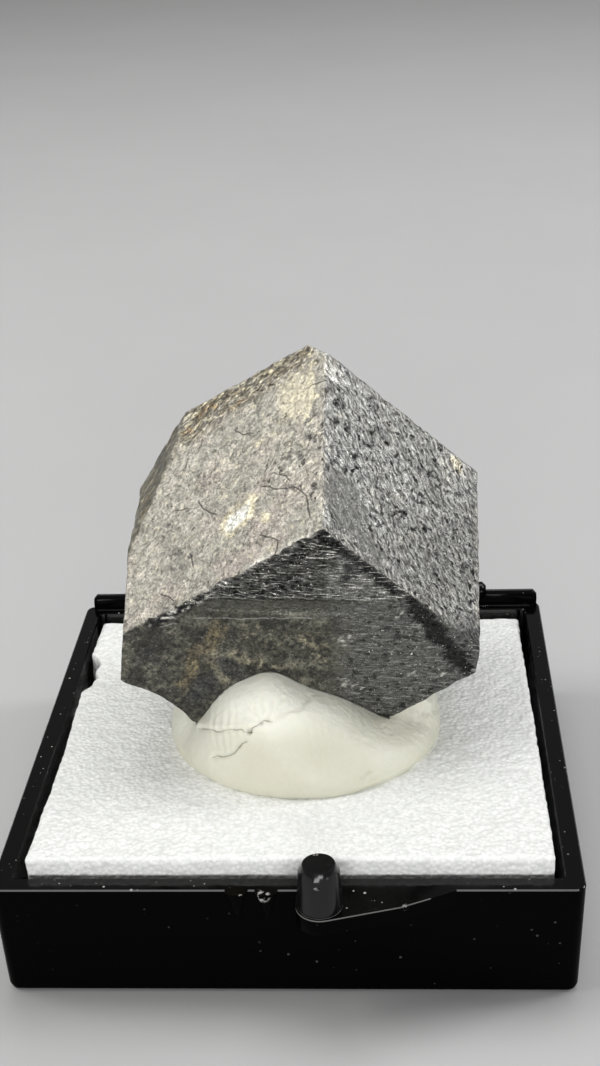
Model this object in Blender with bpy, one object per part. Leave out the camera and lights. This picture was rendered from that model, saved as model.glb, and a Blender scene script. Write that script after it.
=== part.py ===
"""A magnetite crystal on a lump of mineral putty, set on the foam block of a small specimen box.

Every size is in millimetres and is turned into metres where a mesh is made. +Z is up, the latch
side of the box faces -Y, and the origin is the middle of the box's underside.
"""
import math
import random

import bmesh
import bpy
from mathutils import Euler, Matrix, Vector

MM = 0.001
TOUCH_GAP = 0.3

# Box base: one black moulding, open at the top.
BOX_WIDTH = 31.75
BOX_HEIGHT = 7.1
BOX_DRAFT = 0.2
BOX_WALL = 1.06
BOX_FLOOR = 1.1
BOX_CORNER = 0.6
BOX_INNER_CORNER = 0.3
FOOT_ROUND = 0.4
FOOT_ROUND_MIDDLE = 0.12
RIM_BEVEL = 0.07
CORNER_STEPS = 5

# Latch: a peg on a small shelf, and two lugs beside it, all on the front wall.
PEG_X = 1.95
PEG_Y = -17.05
PEG_FOOT_RADIUS = 1.18
PEG_TOP_RADIUS = 0.86
PEG_BASE = 0.15
PEG_DRAFT = 0.08
PEG_SHOULDER = 2.2
PEG_HEIGHT = 2.65
PEG_SIDES = 32
PEG_DIMPLE_RADIUS = 0.42
PEG_DIMPLE_UP = 2.05
PEG_DIMPLE_SHIFT = -0.1
PEG_DIMPLE_STANDOFF = 0.23
SHELF_THICKNESS = 0.95
SHELF_END_RADIUS = 1.3
SHELF_BEND = (6.1, -17.23)
SHELF_RIGHT = 9.07
SHELF_ARC_DEG = 105
SHELF_ARC_STEPS = 10
LUG_CENTRES = (-2.56, -0.97)
LUG_HALF_WIDTH = 0.62
LUG_REACH = 0.42
LUG_DROP = 1.9
LUG_SECTIONS = ((0.06, LUG_DROP), (0.62, 0.7), (1.0, 0.0))
LUG_SIDES = 9
LUG_ROUND = 0.8

# Hinge rail: a rounded bar along the back rim, with a knuckle near each end.
RAIL_LEFT = -15.35
RAIL_RIGHT = 15.7
RAIL_THICKNESS = 0.8
RAIL_DEPTH = 1.55
RAIL_RISE = 1.05
RAIL_BACK = 16.15
KNUCKLE_RADIUS = 0.62
KNUCKLE_LENGTH = 2.0
KNUCKLE_CENTRE_X = 11.2
KNUCKLE_RISE = 1.6
BAR_END_LENGTH = 0.25
BAR_END_SCALE = 0.6
BAR_SIDES = 16

# Foam block: stands a little proud of the rim at the front and sinks towards the back.
FOAM_LEFT = -14.15
FOAM_RIGHT = 14.4
FOAM_FRONT = -14.45
FOAM_BACK = 14.4
FOAM_TOP_AT_MIDDLE = 7.4
FOAM_SLOPE = -0.048
FOAM_EDGE = 0.35
FOAM_CORNER = 0.9
FOAM_CORNER_ROUND = 0.3
FOAM_NOTCH_OUTLINE = ((-15.15, 4.6), (-13.78, 4.9), (-13.4, 6.3), (-13.55, 8.6), (-13.89, 10.8),
                      (-15.15, 10.8))
FOAM_NOTCH_BOTTOM = 3.7
FOAM_NOTCH_TOP = 10.0

# Putty: a flattened lump pressed round the foot of the crystal, highest left of its middle. In front
# of the crystal it stays under the arch of the foot: its crest changes behind a slanting line.
PUTTY_CENTRE = (0.43, 0.02)
PUTTY_REACH_ACROSS = 8.2
PUTTY_REACH_DEEP = 8.65
PUTTY_SIDES = 64
PUTTY_RINGS = 12
PUTTY_LIP = 0.25
PUTTY_FULLNESS = 4.0
PUTTY_SHOULDER = 0.625
PUTTY_RING_CROWDING = 0.6
PUTTY_FRONT_CREST = ((-8.2, 1.1), (-6.2, 2.65), (-5.2, 4.2), (-4.2, 5.2), (-2.7, 5.4), (-1.2, 5.7),
                     (0.9, 4.15), (2.1, 3.65), (3.9, 2.75), (5.3, 1.85), (8.6, 1.6))
PUTTY_CREST_TURN = (-3.5, 0.1)
PUTTY_CREST_BLEND = 2.0
PUTTY_CREST = ((-8.2, 5.1), (-4.8, 5.9), (-3.0, 6.0), (-1.2, 5.9), (0.6, 5.3), (2.2, 4.4),
               (4.2, 3.6), (6.0, 3.6), (8.6, 3.9))

# Crystal: a rhombic dodecahedron standing on one of its four-fold corners. Its own axes have X to
# the right, Y away and Z up through the top corner. Each face has its direction in those axes and
# its distance from the middle of the crystal.
CRYSTAL_MIDDLE = (0.29, 5.2, 16.655)
CRYSTAL_TURN = (3.25, 8.0, 6.0)
SLOPE = math.sqrt(0.5)
ROUGH_BLOCK = 60.0
CRYSTAL_FACES = {
    "front": ((0, -1, 0), 9.19),
    "right": ((1, -0.02, 0), 10.13),
    "back": ((0, 1, 0), 6.6),
    "left": ((-1, 0, 0), 10.6),
    "top front left": ((-0.5, -0.5, SLOPE), 9.19),
    "top front right": ((0.5, -0.5, SLOPE), 9.19),
    "top back right": ((0.5, 0.5, SLOPE), 9.51),
    "top back left": ((-0.5, 0.5, SLOPE), 10.43),
    "foot back right": ((0.5, 0.5, -SLOPE), 6.2),
    "foot back left": ((-0.5, 0.5, -SLOPE), 6.2),
}
CRYSTAL_BREAKS = {
    "worn tip": ((0.12, 0.1, 0.987), 12.87),
    "worn top left edge": ((-0.569, -0.31, 0.762), 9.97),
    "chipped left edge": ((-0.886, -0.05, 0.46), 10.48),
    "broken left side": ((-0.992, 0.1, -0.072), 9.91),
    "broken left shoulder": ((-0.86, 0.38, 0.34), 10.16),
    "broken right foot": ((0.612, -0.105, -0.784), 8.8),
    "broken left foot": ((-0.514, -0.021, -0.857), 9.25),
    "broken base": ((0, 0, -1), 7.9),
}

# Hollow broken out of the foot of the front face: its arch, as x and z in the crystal's axes, and
# how its sections shrink as it goes in.
HOLLOW_ARCH = ((-6.3, -7.9), (-5.91, -6.97), (-5.57, -6.01), (-5.22, -5.21), (-4.81, -4.48),
               (-4.15, -4.01), (-3.43, -3.54), (-2.72, -3.08), (-2.05, -2.72), (-1.45, -2.92),
               (-0.84, -3.23), (0.27, -3.85), (0.89, -4.16), (1.59, -4.18), (2.52, -4.55),
               (3.45, -4.91), (4.22, -5.4), (4.95, -5.58), (5.6, -5.58), (6.1, -6.6))
HOLLOW_BOTTOM = -10.0
HOLLOW_MIDDLE = (-0.5, -8.2)
HOLLOW_RISE = 5.48
HOLLOW_SECTIONS = ((-11.0, 1.0), (-9.3, 1.0), (-8.0, 0.88), (-6.9, 0.62), (-6.3, 0.3))

# Scoop broken out under the left foot, as x and z in the crystal's axes: its line from the outside
# to the toe, and how far it drops away as it goes in.
SCOOP_LINE = ((-13.0, -3.36), (-10.54, -4.24), (-8.98, -4.8), (-8.24, -5.13), (-7.57, -5.58),
              (-6.78, -6.17), (-5.93, -7.0))
SCOOP_BOTTOM = -14.0
SCOOP_SECTIONS = ((-11.0, 0.0), (-7.0, 0.0), (-3.0, 0.6))

# Growth ledges: long shallow steps along each face's long diagonal.
CRYSTAL_SEED = 4
LEDGE_LANES = 7
LEDGE_STEP = 1.05
LEDGE_STRAY = 0.18
LEDGE_SPREAD = 4.5
LEDGE_MARGIN = 0.6
LEDGE_DEPTHS = (0.09, 0.16)
LEDGE_WIDTHS = (0.3, 0.62)
LEDGE_LENGTHS = (3.0, 8.0)
BAND_CLEAR = (-0.6, 2.6)
FRONT_BAND = {"middle": (-1.9, 1.35), "length": 8.6, "width": 0.78, "depth": 0.16, "tilt": 3.6}

# Pits: small sharp hollows scattered over the faces.
PITS_ON_A_FACE = 16
PIT_ATTEMPTS = 120
PIT_SPACING = 1.0
PIT_MARGIN = 0.5
PIT_SPREAD = (8.0, 6.0)
PIT_TURN = 0.4
PIT_SIZES = (0.16, 0.34)
PIT_DEPTH = 0.5
PIT_WIDTH = 0.6
CUTTER_STANDOFF = 0.2
STEP_CUTTER_HEIGHT = 1.0

MATERIALS = {
    "crystal": ("magnetite", (0.16, 0.155, 0.145), 0.42, 0.55),
    "putty": ("mineral_putty", (0.74, 0.70, 0.58), 0.55, 0.0),
    "foam_block": ("white_foam", (0.84, 0.86, 0.86), 0.85, 0.0),
    "box_base": ("black_plastic", (0.012, 0.012, 0.013), 0.16, 0.0),
}


def clear_scene():
    for item in list(bpy.data.objects):
        bpy.data.objects.remove(item, do_unlink=True)


def make_material(node):
    name, colour, roughness, metallic = MATERIALS[node]
    material = bpy.data.materials.get(name) or bpy.data.materials.new(name)
    material.use_nodes = True
    shader = material.node_tree.nodes["Principled BSDF"]
    shader.inputs["Base Color"].default_value = (*colour, 1.0)
    shader.inputs["Roughness"].default_value = roughness
    shader.inputs["Metallic"].default_value = metallic
    return material


def object_from(name, bm):
    """Make an object from a bmesh whose points are in millimetres."""
    bmesh.ops.scale(bm, vec=(MM, MM, MM), verts=bm.verts)
    bmesh.ops.recalc_face_normals(bm, faces=bm.faces)
    mesh = bpy.data.meshes.new(name)
    bm.to_mesh(mesh)
    bm.free()
    item = bpy.data.objects.new(name, mesh)
    bpy.context.collection.objects.link(item)
    return item


def finish(item, node, smooth_angle=None):
    """Give a finished piece its material and its shading."""
    item.data.materials.clear()
    item.data.materials.append(make_material(node))
    if smooth_angle is not None:
        item.data.shade_smooth()
        item.data.set_sharp_from_angle(angle=math.radians(smooth_angle))


def combine(target, cutter, operation):
    """Join, cut or keep target by cutter, then remove the cutter."""
    modifier = target.modifiers.new(operation.lower(), "BOOLEAN")
    modifier.operation = operation
    modifier.solver = "EXACT"
    modifier.object = cutter
    bpy.context.view_layer.update()
    graph = bpy.context.evaluated_depsgraph_get()
    result = bpy.data.meshes.new_from_object(target.evaluated_get(graph))
    target.modifiers.remove(modifier)
    target.data = result
    bpy.data.objects.remove(cutter, do_unlink=True)


def loft(bm, loops):
    """Bridge closed loops of equal length and cap both ends."""
    rings = [[bm.verts.new(point) for point in loop] for loop in loops]
    count = len(rings[0])
    for lower, upper in zip(rings, rings[1:]):
        for i in range(count):
            j = (i + 1) % count
            bm.faces.new((lower[i], lower[j], upper[j], upper[i]))
    bm.faces.new(rings[0])
    bm.faces.new(rings[-1])


def rounded_square(half, radius, z):
    """A loop of points round a square with round corners."""
    points = []
    for corner in range(4):
        start = corner * math.pi / 2
        middle_x = (half - radius) * (1 if corner in (0, 3) else -1)
        middle_y = (half - radius) * (1 if corner in (0, 1) else -1)
        for step in range(CORNER_STEPS + 1):
            angle = start + step * math.pi / 2 / CORNER_STEPS
            x = middle_x + radius * math.cos(angle)
            y = middle_y + radius * math.sin(angle)
            points.append((x, y, z))
    return points


def make_tray():
    """The open tray: outer wall with a rounded foot, bevelled rim, inner wall and floor."""
    outer = BOX_WIDTH / 2
    foot = outer - BOX_DRAFT
    inner = outer - BOX_WALL
    loops = (
        rounded_square(foot - FOOT_ROUND, BOX_INNER_CORNER, 0.0),
        rounded_square(foot - FOOT_ROUND_MIDDLE, BOX_CORNER - FOOT_ROUND_MIDDLE, FOOT_ROUND_MIDDLE),
        rounded_square(foot, BOX_CORNER, FOOT_ROUND),
        rounded_square(outer, BOX_CORNER, BOX_HEIGHT - RIM_BEVEL),
        rounded_square(outer - RIM_BEVEL, BOX_CORNER - RIM_BEVEL, BOX_HEIGHT),
        rounded_square(inner + RIM_BEVEL, BOX_INNER_CORNER + RIM_BEVEL, BOX_HEIGHT),
        rounded_square(inner, BOX_INNER_CORNER, BOX_HEIGHT - RIM_BEVEL),
        rounded_square(inner - BOX_DRAFT / 2, BOX_INNER_CORNER, BOX_FLOOR),
    )
    bm = bmesh.new()
    loft(bm, loops)
    return object_from("box_base", bm)


def prism(name, outline, bottom, top):
    """An upright prism on a flat outline."""
    bm = bmesh.new()
    loft(bm, [[(x, y, bottom) for x, y in outline], [(x, y, top) for x, y in outline]])
    return object_from(name, bm)


def make_latch_shelf():
    """The shelf's outline runs round the peg, then back to the wall in two straight runs."""
    inside_wall = -BOX_WIDTH / 2 + BOX_WALL / 2
    wall = -BOX_WIDTH / 2
    outline = [(PEG_X - SHELF_END_RADIUS, inside_wall)]
    for step in range(SHELF_ARC_STEPS + 1):
        angle = math.radians(180 + step * SHELF_ARC_DEG / SHELF_ARC_STEPS)
        x = PEG_X + SHELF_END_RADIUS * math.cos(angle)
        y = PEG_Y + SHELF_END_RADIUS * math.sin(angle)
        outline.append((x, y))
    outline.append(SHELF_BEND)
    outline.append((SHELF_RIGHT, wall))
    outline.append((SHELF_RIGHT, inside_wall))
    return prism("shelf", outline, BOX_HEIGHT - SHELF_THICKNESS, BOX_HEIGHT)


def make_peg():
    """A tapered peg with a bevelled top."""
    profile = ((PEG_FOOT_RADIUS, -SHELF_THICKNESS / 2), (PEG_FOOT_RADIUS, PEG_BASE),
               (PEG_FOOT_RADIUS - PEG_DRAFT, PEG_SHOULDER), (PEG_TOP_RADIUS, PEG_HEIGHT))
    loops = []
    for radius, up in profile:
        loop = []
        for side in range(PEG_SIDES):
            angle = 2 * math.pi * side / PEG_SIDES
            x = PEG_X + radius * math.cos(angle)
            y = PEG_Y + radius * math.sin(angle)
            loop.append((x, y, BOX_HEIGHT + up))
        loops.append(loop)
    bm = bmesh.new()
    loft(bm, loops)
    return object_from("peg", bm)


def ball(name, centre, radius, detail=2):
    bm = bmesh.new()
    bmesh.ops.create_icosphere(bm, subdivisions=detail, radius=radius,
                               matrix=Matrix.Translation(centre))
    return object_from(name, bm)


def make_peg_dimple():
    centre = (PEG_X + PEG_DIMPLE_SHIFT, PEG_Y - PEG_FOOT_RADIUS - PEG_DIMPLE_STANDOFF,
              BOX_HEIGHT + PEG_DIMPLE_UP)
    return ball("peg dimple", centre, PEG_DIMPLE_RADIUS)


def make_lug(centre_x):
    """A rounded wedge on the front wall that tapers down to nothing."""
    wall = -BOX_WIDTH / 2
    loops = []
    for scale, down in LUG_SECTIONS:
        z = BOX_HEIGHT - down
        half = scale * LUG_HALF_WIDTH
        loop = [(centre_x + half, wall + BOX_WALL / 3, z), (centre_x - half, wall + BOX_WALL / 3, z)]
        for side in range(LUG_SIDES + 1):
            angle = math.pi * side / LUG_SIDES
            x = centre_x - half * math.cos(angle)
            y = wall - scale * LUG_REACH * math.sin(angle) ** LUG_ROUND
            loop.append((x, y, z))
        loops.append(loop)
    bm = bmesh.new()
    loft(bm, loops)
    return object_from("lug", bm)


def bar_along_x(name, ends, middle, half_size):
    """A bar of elliptical section with slightly tapered ends."""
    left, right = ends
    middle_y, middle_z = middle
    half_y, half_z = half_size
    loops = []
    for x, scale in ((left, BAR_END_SCALE), (left + BAR_END_LENGTH, 1.0),
                     (right - BAR_END_LENGTH, 1.0), (right, BAR_END_SCALE)):
        loop = []
        for side in range(BAR_SIDES):
            angle = 2 * math.pi * side / BAR_SIDES
            y = middle_y + scale * half_y * math.cos(angle)
            z = middle_z + scale * half_z * math.sin(angle)
            loop.append((x, y, z))
        loops.append(loop)
    bm = bmesh.new()
    loft(bm, loops)
    return object_from(name, bm)


def make_rail():
    middle = (RAIL_BACK - RAIL_THICKNESS / 2, BOX_HEIGHT + RAIL_RISE - RAIL_DEPTH / 2)
    half_size = (RAIL_THICKNESS / 2, RAIL_DEPTH / 2)
    return bar_along_x("rail", (RAIL_LEFT, RAIL_RIGHT), middle, half_size)


def make_knuckle(side):
    ends = (side * KNUCKLE_CENTRE_X - KNUCKLE_LENGTH / 2, side * KNUCKLE_CENTRE_X + KNUCKLE_LENGTH / 2)
    middle = (RAIL_BACK - RAIL_THICKNESS / 2, BOX_HEIGHT + KNUCKLE_RISE - KNUCKLE_RADIUS)
    return bar_along_x("knuckle", ends, middle, (KNUCKLE_RADIUS, KNUCKLE_RADIUS))


def build_box_base():
    tray = make_tray()
    combine(tray, make_latch_shelf(), "UNION")
    combine(tray, make_peg(), "UNION")
    combine(tray, make_peg_dimple(), "DIFFERENCE")
    for centre_x in LUG_CENTRES:
        combine(tray, make_lug(centre_x), "UNION")
    combine(tray, make_rail(), "UNION")
    for side in (-1, 1):
        combine(tray, make_knuckle(side), "UNION")
    finish(tray, "box_base", smooth_angle=32)
    return tray


def foam_top(y):
    """Height of the foam's top face at y."""
    return FOAM_TOP_AT_MIDDLE + FOAM_SLOPE * y


def foam_outline(inset, corner):
    """The foam's outline, drawn in by inset, with its four corners taken off."""
    left = FOAM_LEFT + inset
    right = FOAM_RIGHT - inset
    front = FOAM_FRONT + inset
    back = FOAM_BACK - inset
    near = corner * FOAM_CORNER_ROUND
    return [(right, back - corner), (right - near, back - near), (right - corner, back),
            (left + corner, back), (left + near, back - near), (left, back - corner),
            (left, front + corner), (left + near, front + near), (left + corner, front),
            (right - corner, front), (right - near, front + near), (right, front + corner)]


def build_foam_block():
    """A cut block with softened edges and a piece torn from its left side."""
    bottom = BOX_FLOOR + TOUCH_GAP
    soft = FOAM_EDGE * FOAM_CORNER_ROUND
    loops = [[(x, y, bottom) for x, y in foam_outline(0.0, FOAM_CORNER)]]
    for inset, drop in ((0.0, FOAM_EDGE), (soft, soft), (FOAM_EDGE, 0.0)):
        outline = foam_outline(inset, FOAM_CORNER - inset)
        loops.append([(x, y, foam_top(y) - drop) for x, y in outline])
    bm = bmesh.new()
    loft(bm, loops)
    foam = object_from("foam_block", bm)
    notch = prism("notch", FOAM_NOTCH_OUTLINE, FOAM_NOTCH_BOTTOM, FOAM_NOTCH_TOP)
    combine(foam, notch, "DIFFERENCE")
    finish(foam, "foam_block")
    return foam


def curve_value(points, x):
    """A smooth curve through the points, read at x."""
    if x <= points[0][0]:
        return points[0][1]
    for (x0, y0), (x1, y1) in zip(points, points[1:]):
        if x <= x1:
            t = (x - x0) / (x1 - x0)
            t = t * t * (3 - 2 * t)
            return y0 + (y1 - y0) * t
    return points[-1][1]


def line_value(points, x):
    """The straight runs between the points, read at x."""
    for (x0, y0), (x1, y1) in zip(points, points[1:]):
        if x <= x1:
            return y0 + (y1 - y0) * max(0.0, (x - x0) / (x1 - x0))
    return points[-1][1]


def putty_crest(x, y):
    """Height of the crest above the foam at a place."""
    turn_at, turn_slope = PUTTY_CREST_TURN
    share = (y - turn_at - turn_slope * x) / PUTTY_CREST_BLEND
    share = min(max(share, 0.0), 1.0)
    share = share * share * (3 - 2 * share)
    front = line_value(PUTTY_FRONT_CREST, x)
    return front + (curve_value(PUTTY_CREST, x) - front) * share


def putty_top(x, y):
    """Height of the putty's surface: a dome whose crest changes from left to right."""
    across = (x - PUTTY_CENTRE[0]) / PUTTY_REACH_ACROSS
    away = math.hypot(across, (y - PUTTY_CENTRE[1]) / PUTTY_REACH_DEEP)
    dome = max(0.0, 1.0 - away ** PUTTY_FULLNESS) ** PUTTY_SHOULDER
    return foam_top(y) + TOUCH_GAP + PUTTY_LIP + putty_crest(x, y) * dome


def putty_ring(share):
    ring = []
    for side in range(PUTTY_SIDES):
        angle = 2 * math.pi * side / PUTTY_SIDES
        x = PUTTY_CENTRE[0] + share * PUTTY_REACH_ACROSS * math.cos(angle)
        y = PUTTY_CENTRE[1] + share * PUTTY_REACH_DEEP * math.sin(angle)
        ring.append((x, y))
    return ring


def build_putty():
    """The lump, with the crystal's foot pressed into it."""
    rim = putty_ring(1.0)
    loops = [[(x, y, foam_top(y) + TOUCH_GAP) for x, y in rim]]
    for ring in range(PUTTY_RINGS):
        share = math.cos(math.pi / 2 * ring / PUTTY_RINGS) ** PUTTY_RING_CROWDING
        loops.append([(x, y, putty_top(x, y)) for x, y in putty_ring(share)])
    bm = bmesh.new()
    loft(bm, loops)
    putty = object_from("putty", bm)
    combine(putty, crystal_body("socket", grow=TOUCH_GAP), "DIFFERENCE")
    finish(putty, "putty", smooth_angle=40)
    return putty


def crystal_place():
    turn = Euler([math.radians(angle) for angle in CRYSTAL_TURN], "XYZ").to_matrix().to_4x4()
    return Matrix.Translation(CRYSTAL_MIDDLE) @ turn


def cut_flat(bm, direction, distance):
    """Cut everything beyond a plane and close the cut."""
    normal = Vector(direction).normalized()
    geometry = bm.verts[:] + bm.edges[:] + bm.faces[:]
    cut = bmesh.ops.bisect_plane(bm, geom=geometry, plane_co=normal * distance, plane_no=normal,
                                 clear_outer=True)
    edges = [item for item in cut["geom_cut"] if isinstance(item, bmesh.types.BMEdge)]
    if edges:
        bmesh.ops.contextual_create(bm, geom=edges)


def hollow_cutter(grow):
    """The arch-shaped hollow, in the crystal's own axes; grow leaves less room in it."""
    middle_x, middle_z = HOLLOW_MIDDLE
    outline = [*HOLLOW_ARCH, (HOLLOW_ARCH[-1][0], HOLLOW_BOTTOM), (HOLLOW_ARCH[0][0], HOLLOW_BOTTOM)]
    fit = 1.0 - grow / HOLLOW_RISE
    loops = []
    for y, share in HOLLOW_SECTIONS:
        loop = []
        for x, z in outline:
            loop.append((middle_x + (x - middle_x) * share * fit, y - grow,
                         middle_z + (z - middle_z) * share * fit))
        loops.append(loop)
    bm = bmesh.new()
    loft(bm, loops)
    bmesh.ops.transform(bm, matrix=crystal_place(), verts=bm.verts)
    return object_from("hollow", bm)


def scoop_cutter(grow):
    """The scoop under the left foot, in the crystal's own axes; grow makes it shallower."""
    loops = []
    for y, drop in SCOOP_SECTIONS:
        line = [(x, y - grow, z - drop - grow) for x, z in SCOOP_LINE]
        ends = [(SCOOP_LINE[index][0], y - grow, SCOOP_BOTTOM) for index in (-1, 0)]
        loops.append(line + ends)
    bm = bmesh.new()
    loft(bm, loops)
    bmesh.ops.transform(bm, matrix=crystal_place(), verts=bm.verts)
    return object_from("scoop", bm)


def crystal_body(name, grow=0.0):
    """The flat-faced crystal with its broken edges; grow moves every face outwards."""
    bm = bmesh.new()
    bmesh.ops.create_cube(bm, size=ROUGH_BLOCK)
    for direction, distance in [*CRYSTAL_FACES.values(), *CRYSTAL_BREAKS.values()]:
        cut_flat(bm, direction, distance + grow)
    bmesh.ops.transform(bm, matrix=crystal_place(), verts=bm.verts)
    body = object_from(name, bm)
    combine(body, hollow_cutter(grow), "DIFFERENCE")
    combine(body, scoop_cutter(grow), "DIFFERENCE")
    return body


def face_frame(direction):
    """Axes of a face: along its long diagonal, across it, and outwards."""
    out = Vector(direction).normalized()
    if abs(out.z) < 0.1:
        along = Vector((0, 0, 1)).cross(out)
    else:
        along = Vector((0, 0, 1)) - out * out.z
        if out.z < 0:
            along.negate()
    along = along.normalized()
    across = out.cross(along)
    return Matrix((along, across, out)).transposed()


def add_step(bm, frame, distance, middle, size, depth, tilt=0.0):
    """A long box sunk into a face by depth."""
    length, width = size
    turn = Matrix.Rotation(math.radians(tilt), 3, "Z")
    scale = Vector((length, width, STEP_CUTTER_HEIGHT))
    shift = Vector((middle[0], middle[1], distance - depth + STEP_CUTTER_HEIGHT / 2))
    for corner in bmesh.ops.create_cube(bm, size=1.0)["verts"]:
        corner.co = frame @ (turn @ (corner.co * scale) + shift)


def add_pit(bm, frame, distance, middle, size, spin):
    """A small pyramid-shaped hollow, pointing into the face."""
    turn = Matrix.Rotation(spin, 3, "Z")
    width = size * PIT_WIDTH
    up = CUTTER_STANDOFF
    top = [Vector((size, 0, up)), Vector((0, width, up)), Vector((-size, 0, up)),
           Vector((0, -width, up))]
    shift = Vector((middle[0], middle[1], distance))
    rim = [bm.verts.new(frame @ (turn @ point + shift)) for point in top]
    tip = bm.verts.new(frame @ (Vector((0, 0, -size * PIT_DEPTH)) + shift))
    bm.faces.new(rim)
    for first, second in zip(rim, rim[1:] + rim[:1]):
        bm.faces.new((first, tip, second))


def on_face(name, point, margin):
    """True if a point of a face is inside all its neighbours by margin."""
    for other, (direction, distance) in {**CRYSTAL_FACES, **CRYSTAL_BREAKS}.items():
        if other != name and Vector(direction).normalized().dot(point) > distance - margin:
            return False
    return True


def ledge_cutter(name, chance):
    """The steps on one grown face, one to a lane, with the wide band on the front face."""
    direction, distance = CRYSTAL_FACES[name]
    frame = face_frame(direction)
    bm = bmesh.new()
    for lane in range(-LEDGE_LANES, LEDGE_LANES + 1):
        across = lane * LEDGE_STEP + chance.uniform(-LEDGE_STRAY, LEDGE_STRAY)
        along = chance.uniform(-LEDGE_SPREAD, LEDGE_SPREAD)
        length = chance.uniform(*LEDGE_LENGTHS)
        width = chance.uniform(*LEDGE_WIDTHS)
        depth = chance.uniform(*LEDGE_DEPTHS)
        middle = frame @ Vector((along, across, distance))
        in_band = name == "front" and BAND_CLEAR[0] < across < BAND_CLEAR[1]
        if on_face(name, middle, LEDGE_MARGIN) and not in_band:
            add_step(bm, frame, distance, (along, across), (length, width), depth)
    if name == "front":
        add_step(bm, frame, distance, FRONT_BAND["middle"],
                 (FRONT_BAND["length"], FRONT_BAND["width"]), FRONT_BAND["depth"],
                 FRONT_BAND["tilt"])
    bmesh.ops.transform(bm, matrix=crystal_place(), verts=bm.verts)
    return object_from("ledges", bm)


def pit_cutter(name, chance):
    """The pits of one face, kept clear of each other."""
    direction, distance = CRYSTAL_FACES[name]
    frame = face_frame(direction)
    bm = bmesh.new()
    placed = []
    for _ in range(PIT_ATTEMPTS):
        spot = tuple(chance.uniform(-reach, reach) for reach in PIT_SPREAD)
        size = chance.uniform(*PIT_SIZES)
        clear = all(math.dist(spot, other) > PIT_SPACING for other in placed)
        middle = frame @ Vector((*spot, distance))
        if len(placed) < PITS_ON_A_FACE and clear and on_face(name, middle, PIT_MARGIN):
            add_pit(bm, frame, distance, spot, size, chance.uniform(-PIT_TURN, PIT_TURN))
            placed.append(spot)
    bmesh.ops.transform(bm, matrix=crystal_place(), verts=bm.verts)
    return object_from("pits", bm)


def build_crystal():
    """The crystal with its growth ledges and pits."""
    crystal = crystal_body("crystal")
    chance = random.Random(CRYSTAL_SEED)
    for name in CRYSTAL_FACES:
        combine(crystal, ledge_cutter(name, chance), "DIFFERENCE")
    for name in CRYSTAL_FACES:
        combine(crystal, pit_cutter(name, chance), "DIFFERENCE")
    finish(crystal, "crystal")
    return crystal


clear_scene()
build_box_base()
build_foam_block()
build_putty()
build_crystal()
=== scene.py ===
"""Dresses a magnetite crystal specimen: the crystal, its putty, the foam block and the box base.

Pieces are modelled in millimetres and turned into metres when they are done. The crystal is worked
in its own axes: X to the right, Y away and Z up through its top corner. On a face of it, U runs
along the face's long diagonal and V across it.
"""

import math

import bpy
import numpy as np
from mathutils import Euler, Matrix, Vector


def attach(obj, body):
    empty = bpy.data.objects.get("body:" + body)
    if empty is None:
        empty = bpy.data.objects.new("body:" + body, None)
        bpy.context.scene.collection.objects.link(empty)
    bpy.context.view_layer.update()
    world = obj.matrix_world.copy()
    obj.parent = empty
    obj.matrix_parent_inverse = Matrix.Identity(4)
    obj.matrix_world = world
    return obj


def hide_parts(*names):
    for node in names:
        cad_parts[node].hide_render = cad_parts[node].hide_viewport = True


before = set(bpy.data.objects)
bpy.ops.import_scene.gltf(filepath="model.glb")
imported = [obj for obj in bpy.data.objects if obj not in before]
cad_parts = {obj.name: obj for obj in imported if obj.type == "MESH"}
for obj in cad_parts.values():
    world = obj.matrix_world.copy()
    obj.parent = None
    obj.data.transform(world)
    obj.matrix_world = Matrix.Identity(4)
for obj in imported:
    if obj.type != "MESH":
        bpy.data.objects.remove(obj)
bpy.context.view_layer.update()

BODY = "root"
MM = 0.001

# Crystal.
CRYSTAL_MIDDLE = (0.29, 5.2, 16.655)
CRYSTAL_TURN = (3.25, 8.0, 6.0)
SLOPE = math.sqrt(0.5)
ROUGH_BLOCK = 60.0
CRYSTAL_VOXEL = 0.139
HOLLOW_ARCH = (
    (-6.3, -7.9), (-5.91, -6.97), (-5.57, -6.01), (-5.22, -5.21), (-4.81, -4.48), (-4.15, -4.01),
    (-3.43, -3.54), (-2.72, -3.08), (-2.05, -2.72), (-1.45, -2.92), (-0.84, -3.23), (0.27, -3.85),
    (0.89, -4.16), (1.59, -4.18), (2.52, -4.55), (3.45, -4.91), (4.22, -5.4), (4.95, -5.58),
    (5.6, -5.58), (6.1, -6.6))
HOLLOW_BOTTOM = -10.0
HOLLOW_MIDDLE = (-0.5, -8.2)
HOLLOW_RISE = 5.48
# Each section of a hollow has its place in depth, its size and how far it drops.
HOLLOW_SECTIONS = (
    (-11.0, 1.0, 0.0), (-9.3, 1.0, 0.0), (-8.0, 0.88, 0.0), (-6.9, 0.62, 0.0), (-6.3, 0.3, 0.0))
SCOOP_LINE = (
    (-13.0, -3.36), (-10.54, -4.24), (-8.98, -4.8), (-8.24, -5.13), (-7.57, -5.58), (-6.78, -6.17),
    (-5.93, -7.0))
SCOOP_BOTTOM = -14.0
SCOOP_SECTIONS = ((-11.0, 1.0, 0.0), (-7.0, 1.0, 0.0), (-3.0, 1.0, 0.6))

# Foam block, box and putty.
FOAM_LOW = (-14.15, -14.45, 1.4)
FOAM_HIGH = (14.4, 14.4)
FOAM_TOP_AT_MIDDLE = 7.4
FOAM_SLOPE = -0.048
FOAM_VOXEL = 0.165
BOX_HEIGHT = 7.1
BOX_FRONT = -16.4
PUTTY_CENTRE = (0.43, 0.02)
PUTTY_REACH = (8.2, 8.65)
PUTTY_LIP = 0.45
PUTTY_GAP = 0.26
PUTTY_SINK = 0.1
PUTTY_VOXEL = 0.102
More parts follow.
